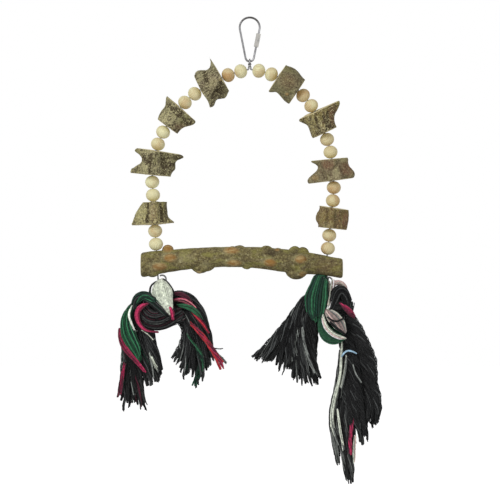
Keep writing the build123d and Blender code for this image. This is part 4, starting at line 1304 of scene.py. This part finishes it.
def nurbs_line(route):
    """Points along the smooth line that a route's points steer."""
    curve = bpy.data.curves.new("route", "CURVE")
    curve.dimensions = "3D"
    curve.resolution_u = ROUTE_STEPS
    spline = curve.splines.new("NURBS")
    spline.points.add(len(route) - 1)
    for point, values in zip(spline.points, route):
        point.co = (*spot(*values), 1.0)
    spline.order_u = 3
    spline.use_endpoint_u = True
    holder = add_object("route", curve)
    graph = bpy.context.evaluated_depsgraph_get()
    line = bpy.data.meshes.new_from_object(holder.evaluated_get(graph), depsgraph=graph)
    places = points_of(line)
    bpy.data.objects.remove(holder)
    bpy.data.meshes.remove(line)
    bpy.data.curves.remove(curve)
    return places


def walked(places):
    """Distance along a line of points."""
    return np.concatenate([[0.0], np.cumsum(np.linalg.norm(np.diff(places, axis=0), axis=1))])


def dye_of_yarns(strand, settings, draws):
    """One colour for each yarn of a strand: mostly its lock's dye, lighter or darker by lock and by yarn."""
    shares = np.array(list(strand.dyes.values()))
    dyes = np.array([tuple(getattr(settings, name)) for name in strand.dyes])
    by_yarn = draws.choice(len(dyes), size=strand.yarns, p=shares / shares.sum())
    by_lock = np.repeat(by_yarn[::strand.per_lock], strand.per_lock)
    dealt = np.where(draws.uniform(size=strand.yarns) < SHARE_IN_LOCK_DYE, by_lock, by_yarn)
    lightness = np.repeat(draws.uniform(*LOCK_LIGHTNESS, strand.locks), strand.per_lock)
    lightness = lightness * draws.uniform(1 - strand.contrast, 1 + strand.contrast, strand.yarns)
    colours = np.ones((strand.yarns, 4))
    colours[:, :3] = np.clip(dyes[dealt] * lightness[:, None], 0, 1)
    return colours


def strand_piece(prefix, strand, tree, material, settings, seed):
    """One bundle of yarns as a mesh, each yarn in its dye."""
    places = nurbs_line(strand.route)
    along = walked(places)
    mesh = bpy.data.meshes.new("guide")
    mesh.from_pydata(places.tolist(), [(i, i + 1) for i in range(len(places) - 1)], [])
    half = np.interp(along / along[-1], np.linspace(0, 1, len(strand.half_widths)), strand.half_widths) * MM
    set_attribute(mesh, "half_width", "FLOAT", half, "value")
    set_attribute(mesh, "half_depth", "FLOAT", half * strand.flatness, "value")
    guide = add_object("guide", mesh)
    yarns = guide.modifiers.new("yarns", "NODES")
    yarns.node_group = tree
    set_inputs(yarns, {field.replace("_", " ").title(): getattr(strand, field) for field in PLAIN_FIELDS})
    set_inputs(yarns, {
        "Points": max(LEAST_POINTS, round(along[-1] / settings.step)), "Sides": settings.sides,
        "Yarn Radius": settings.yarn * strand.thickness, "Lock Radius": strand.lock * MM,
        "Wander": settings.wander * strand.wander, "Seed": seed, "Material": material,
    })
    piece = baked(guide, prefix + "_" + strand.name)
    yarn = values_of(piece.data.attributes["yarn"].data, "value", kind=np.int32)
    colours = dye_of_yarns(strand, settings, np.random.default_rng(seed))
    set_attribute(piece.data, "dye", "FLOAT_COLOR", colours[yarn], "color")
    return piece


def core_tube(name, places, radius, material, dye, sides=14):
    """A round tube along a line of points, closed at both ends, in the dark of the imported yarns."""
    tangents = np.gradient(places, axis=0)
    tangents /= np.linalg.norm(tangents, axis=1)[:, None]
    points = []
    for middle, tangent in zip(places, tangents):
        across = np.cross(tangent, AWAY)
        across /= np.linalg.norm(across)
        deep = np.cross(across, tangent)
        for turn in np.arange(sides) * math.tau / sides:
            points.append(middle + (across * math.cos(turn) + deep * math.sin(turn)) * radius)
    faces = [tuple(reversed(range(sides))), tuple(range(len(points) - sides, len(points)))]
    for row in range(len(places) - 1):
        for side in range(sides):
            here = row * sides + side
            after = row * sides + (side + 1) % sides
            faces.append((here, after, after + sides, here + sides))
    mesh = bpy.data.meshes.new(name)
    mesh.from_pydata([tuple(point) for point in points], [], faces)
    smooth(mesh)
    mesh.materials.append(material)
    set_attribute(mesh, "dye", "FLOAT_COLOR", np.tile(opaque(dye), (len(points), 1)), "color")
    set_attribute(mesh, "along", "FLOAT", np.repeat(walked(places), sides), "value")
    return add_object(name, mesh)


def rope(node, strands, cores, tree, material, settings, first_seed):
    """A knotted rope: packed core tubes, dressed with its strands of yarn."""
    pieces = []
    for index, strand in enumerate(strands):
        piece = strand_piece(node, strand, tree, material, settings, first_seed + index)
        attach(piece, node)
        pieces.append(piece)
    split = (len(pieces) + 1) // 2
    groups = (pieces[:split], pieces[split:])
    for (name, route), group in zip(cores.items(), groups):
        places = nurbs_line(route)
        core = core_tube(node + "_" + name, places, settings.core, material, settings.black)
        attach(core, node)
        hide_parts(node)


# Operators

LEFT_SEED = 100
RIGHT_SEED = 200


class SWING_OT_link(bpy.types.Operator):
    """Make the quick link and its sleeve nut in plated steel"""

    bl_idname = "swing.link"
    bl_label = "Quick link"

    def execute(self, context):
        steel = context.scene.swing_steel
        plated = steel_material("link_plating", steel, steel.link_colour, steel.stain_colour, steel.top_darkening)
        bright = steel_material("nut_plating", steel, steel.nut_colour, steel.link_colour)
        smooth_metal("quick_link", "quick_link_rod", plated, steel.crease_angle)
        smooth_metal("link_nut", "link_sleeve_nut", bright, steel.crease_angle)
        return {"FINISHED"}


class SWING_OT_wire(bpy.types.Operator):
    """Make the arch wire in drawn steel"""

    bl_idname = "swing.wire"
    bl_label = "Arch wire"

    def execute(self, context):
        steel = context.scene.swing_steel
        drawn = steel_material("wire_steel", steel, steel.wire_colour, steel.stain_colour)
        smooth_metal("arch_wire", "arch_wire_bent", drawn, steel.crease_angle)
        return {"FINISHED"}


class SWING_OT_beads(bpy.types.Operator):
    """Turn the drilled wooden beads"""

    bl_idname = "swing.beads"
    bl_label = "Beads"

    def execute(self, context):
        settings = context.scene.swing_beads
        wood = bead_material(settings)
        for seed, node in enumerate(sorted(name for name in NODES if "_bead_" in name)):
            low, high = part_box(node)
            axis = Vector(JOINTS[node]["axis"]).normalized()
            middle = (low + high) / 2
            radius = (high.y - low.y) / 2
            half_length = float(np.max((points_of(NODES[node].data) - np.array(middle)) @ np.array(axis)))
            side, _, number = node.split("_")
            warmth_and_shade = BEAD_WARMTH_AND_SHADE[side][int(number) - 1]
            bead = turned_bead(node + "_turned", middle, axis, radius, half_length, warmth_and_shade, settings,
                               np.random.default_rng(seed))
            seat(bead, node, wood)
        return {"FINISHED"}


class SWING_OT_branch(bpy.types.Operator):
    """Cover the branch slices and the perch in bark, with sawn ends"""

    bl_idname = "swing.branch"
    bl_label = "Branch slices and perch"

    def execute(self, context):
        settings = context.scene.swing_bark
        tree = bark_tree()
        materials = {bark: bark_material(bark, settings) for bark in (COARSE, FINE, SMOOTH)}
        for seed, (node, branch) in enumerate(BRANCHES.items(), start=1):
            if node in JOINTS:
                step = settings.slice_step
                middle = Vector(JOINTS[node]["pos_m"])
                along = Vector(JOINTS[node]["axis"]).normalized()
            else:
                step = settings.perch_step
                middle = sum(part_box(node), Vector()) / 2
                along = ALONG_PERCH
            branch_piece(node, branch, tree, materials[branch.bark], settings, step, middle, along, seed)
        return {"FINISHED"}


class SWING_OT_ropes(bpy.types.Operator):
    """Lay the two knotted ropes yarn by yarn"""

    bl_idname = "swing.ropes"
    bl_label = "Rope tassels"

    def execute(self, context):
        settings = context.scene.swing_rope
        tree = yarn_tree()
        cotton = yarn_material(settings)
        rope("left_rope", LEFT_STRANDS, LEFT_CORES, tree, cotton, settings, LEFT_SEED)
        rope("right_rope", RIGHT_STRANDS, RIGHT_CORES, tree, cotton, settings, RIGHT_SEED)
        return {"FINISHED"}


def aim(thing, target):
    """Turns a lamp or camera towards a place."""
    thing.rotation_euler = (target - thing.location).to_track_quat("-Z", "Y").to_euler()


def soft_lamp(name, where, target, power, width):
    """A square lamp that points at the swing."""
    lamp = bpy.data.lights.new(name, "AREA")
    lamp.energy = power
    lamp.size = width
    holder = add_object(name, lamp)
    holder.location = where
    aim(holder, target)


def white_world(strength):
    """Light from all round, and white where the camera sees past the swing."""
    world = bpy.data.worlds.new("studio")
    world.use_nodes = True
    world.node_tree.nodes.clear()
    graph = Graph(world.node_tree)
    light = graph.node("ShaderNodeBackground", None, {"Color": opaque(WHITE), "Strength": strength})
    white = graph.node("ShaderNodeBackground", None, {"Color": opaque(WHITE), "Strength": 1.0})
    shown = graph.node("ShaderNodeMixShader", None, {0: seen_directly(graph), 1: light, 2: white})
    graph.node("ShaderNodeOutputWorld", None, {"Surface": shown})
    bpy.context.scene.world = world


class SWING_OT_stage(bpy.types.Operator):
    """Set up the camera, the lamps, the white surroundings and the floor"""

    bl_idname = "swing.stage"
    bl_label = "Stage"

    def execute(self, context):
        settings = context.scene.swing_stage
        target = spot(SHEET_MIDDLE, SHEET_MIDDLE)
        camera = bpy.data.cameras.new("camera")
        camera.lens = settings.lens
        camera.dof.use_dof = False
        holder = add_object("camera", camera)
        holder.location = target - AWAY * settings.distance
        aim(holder, target)
        context.scene.camera = holder
        context.scene.view_settings.view_transform = "Standard"
        soft_lamp("key_lamp", settings.key_place, target, settings.key_power, settings.key_width)
        soft_lamp("fill_lamp", settings.fill_place, target, settings.fill_power, settings.fill_width)
        white_world(settings.sky)
        signs = ((-1, -1), (1, -1), (1, 1), (-1, 1))
        reach = settings.floor_reach
        mesh = bpy.data.meshes.new("floor")
        corners = [(x * reach, y * reach, settings.floor_height) for x, y in signs]
        mesh.from_pydata(corners, [], [(0, 1, 2, 3)])
        mesh.materials.append(floor_material())
        add_object("floor", mesh)
        return {"FINISHED"}


OPERATORS = (SWING_OT_stage, SWING_OT_ropes, SWING_OT_link, SWING_OT_wire, SWING_OT_beads, SWING_OT_branch)


class SWING_PT_panel(bpy.types.Panel):
    """Lists the swing's pieces and the values that shape them"""

    bl_idname = "SWING_PT_panel"
    bl_label = "Bird swing"
    bl_space_type = "VIEW_3D"
    bl_region_type = "UI"
    bl_category = "Swing"

    def draw(self, context):
        for operator in OPERATORS:
            self.layout.operator(operator.bl_idname)
        for name, group in GROUPS.items():
            box = self.layout.box()
            for field in group.__annotations__:
                box.prop(getattr(context.scene, name), field)


CLASSES = (*GROUPS.values(), *OPERATORS, SWING_PT_panel)


def register():
    for kind in CLASSES:
        bpy.utils.register_class(kind)
    for name, group in GROUPS.items():
        setattr(bpy.types.Scene, name, PointerProperty(type=group))


def unregister():
    for name in GROUPS:
        delattr(bpy.types.Scene, name)
    for kind in reversed(CLASSES):
        bpy.utils.unregister_class(kind)


def main():
    register()
    bpy.ops.swing.stage()
    bpy.ops.swing.ropes()
    bpy.ops.swing.link()
    bpy.ops.swing.wire()
    bpy.ops.swing.beads()
    bpy.ops.swing.branch()


if __name__ == "__main__":
    main()
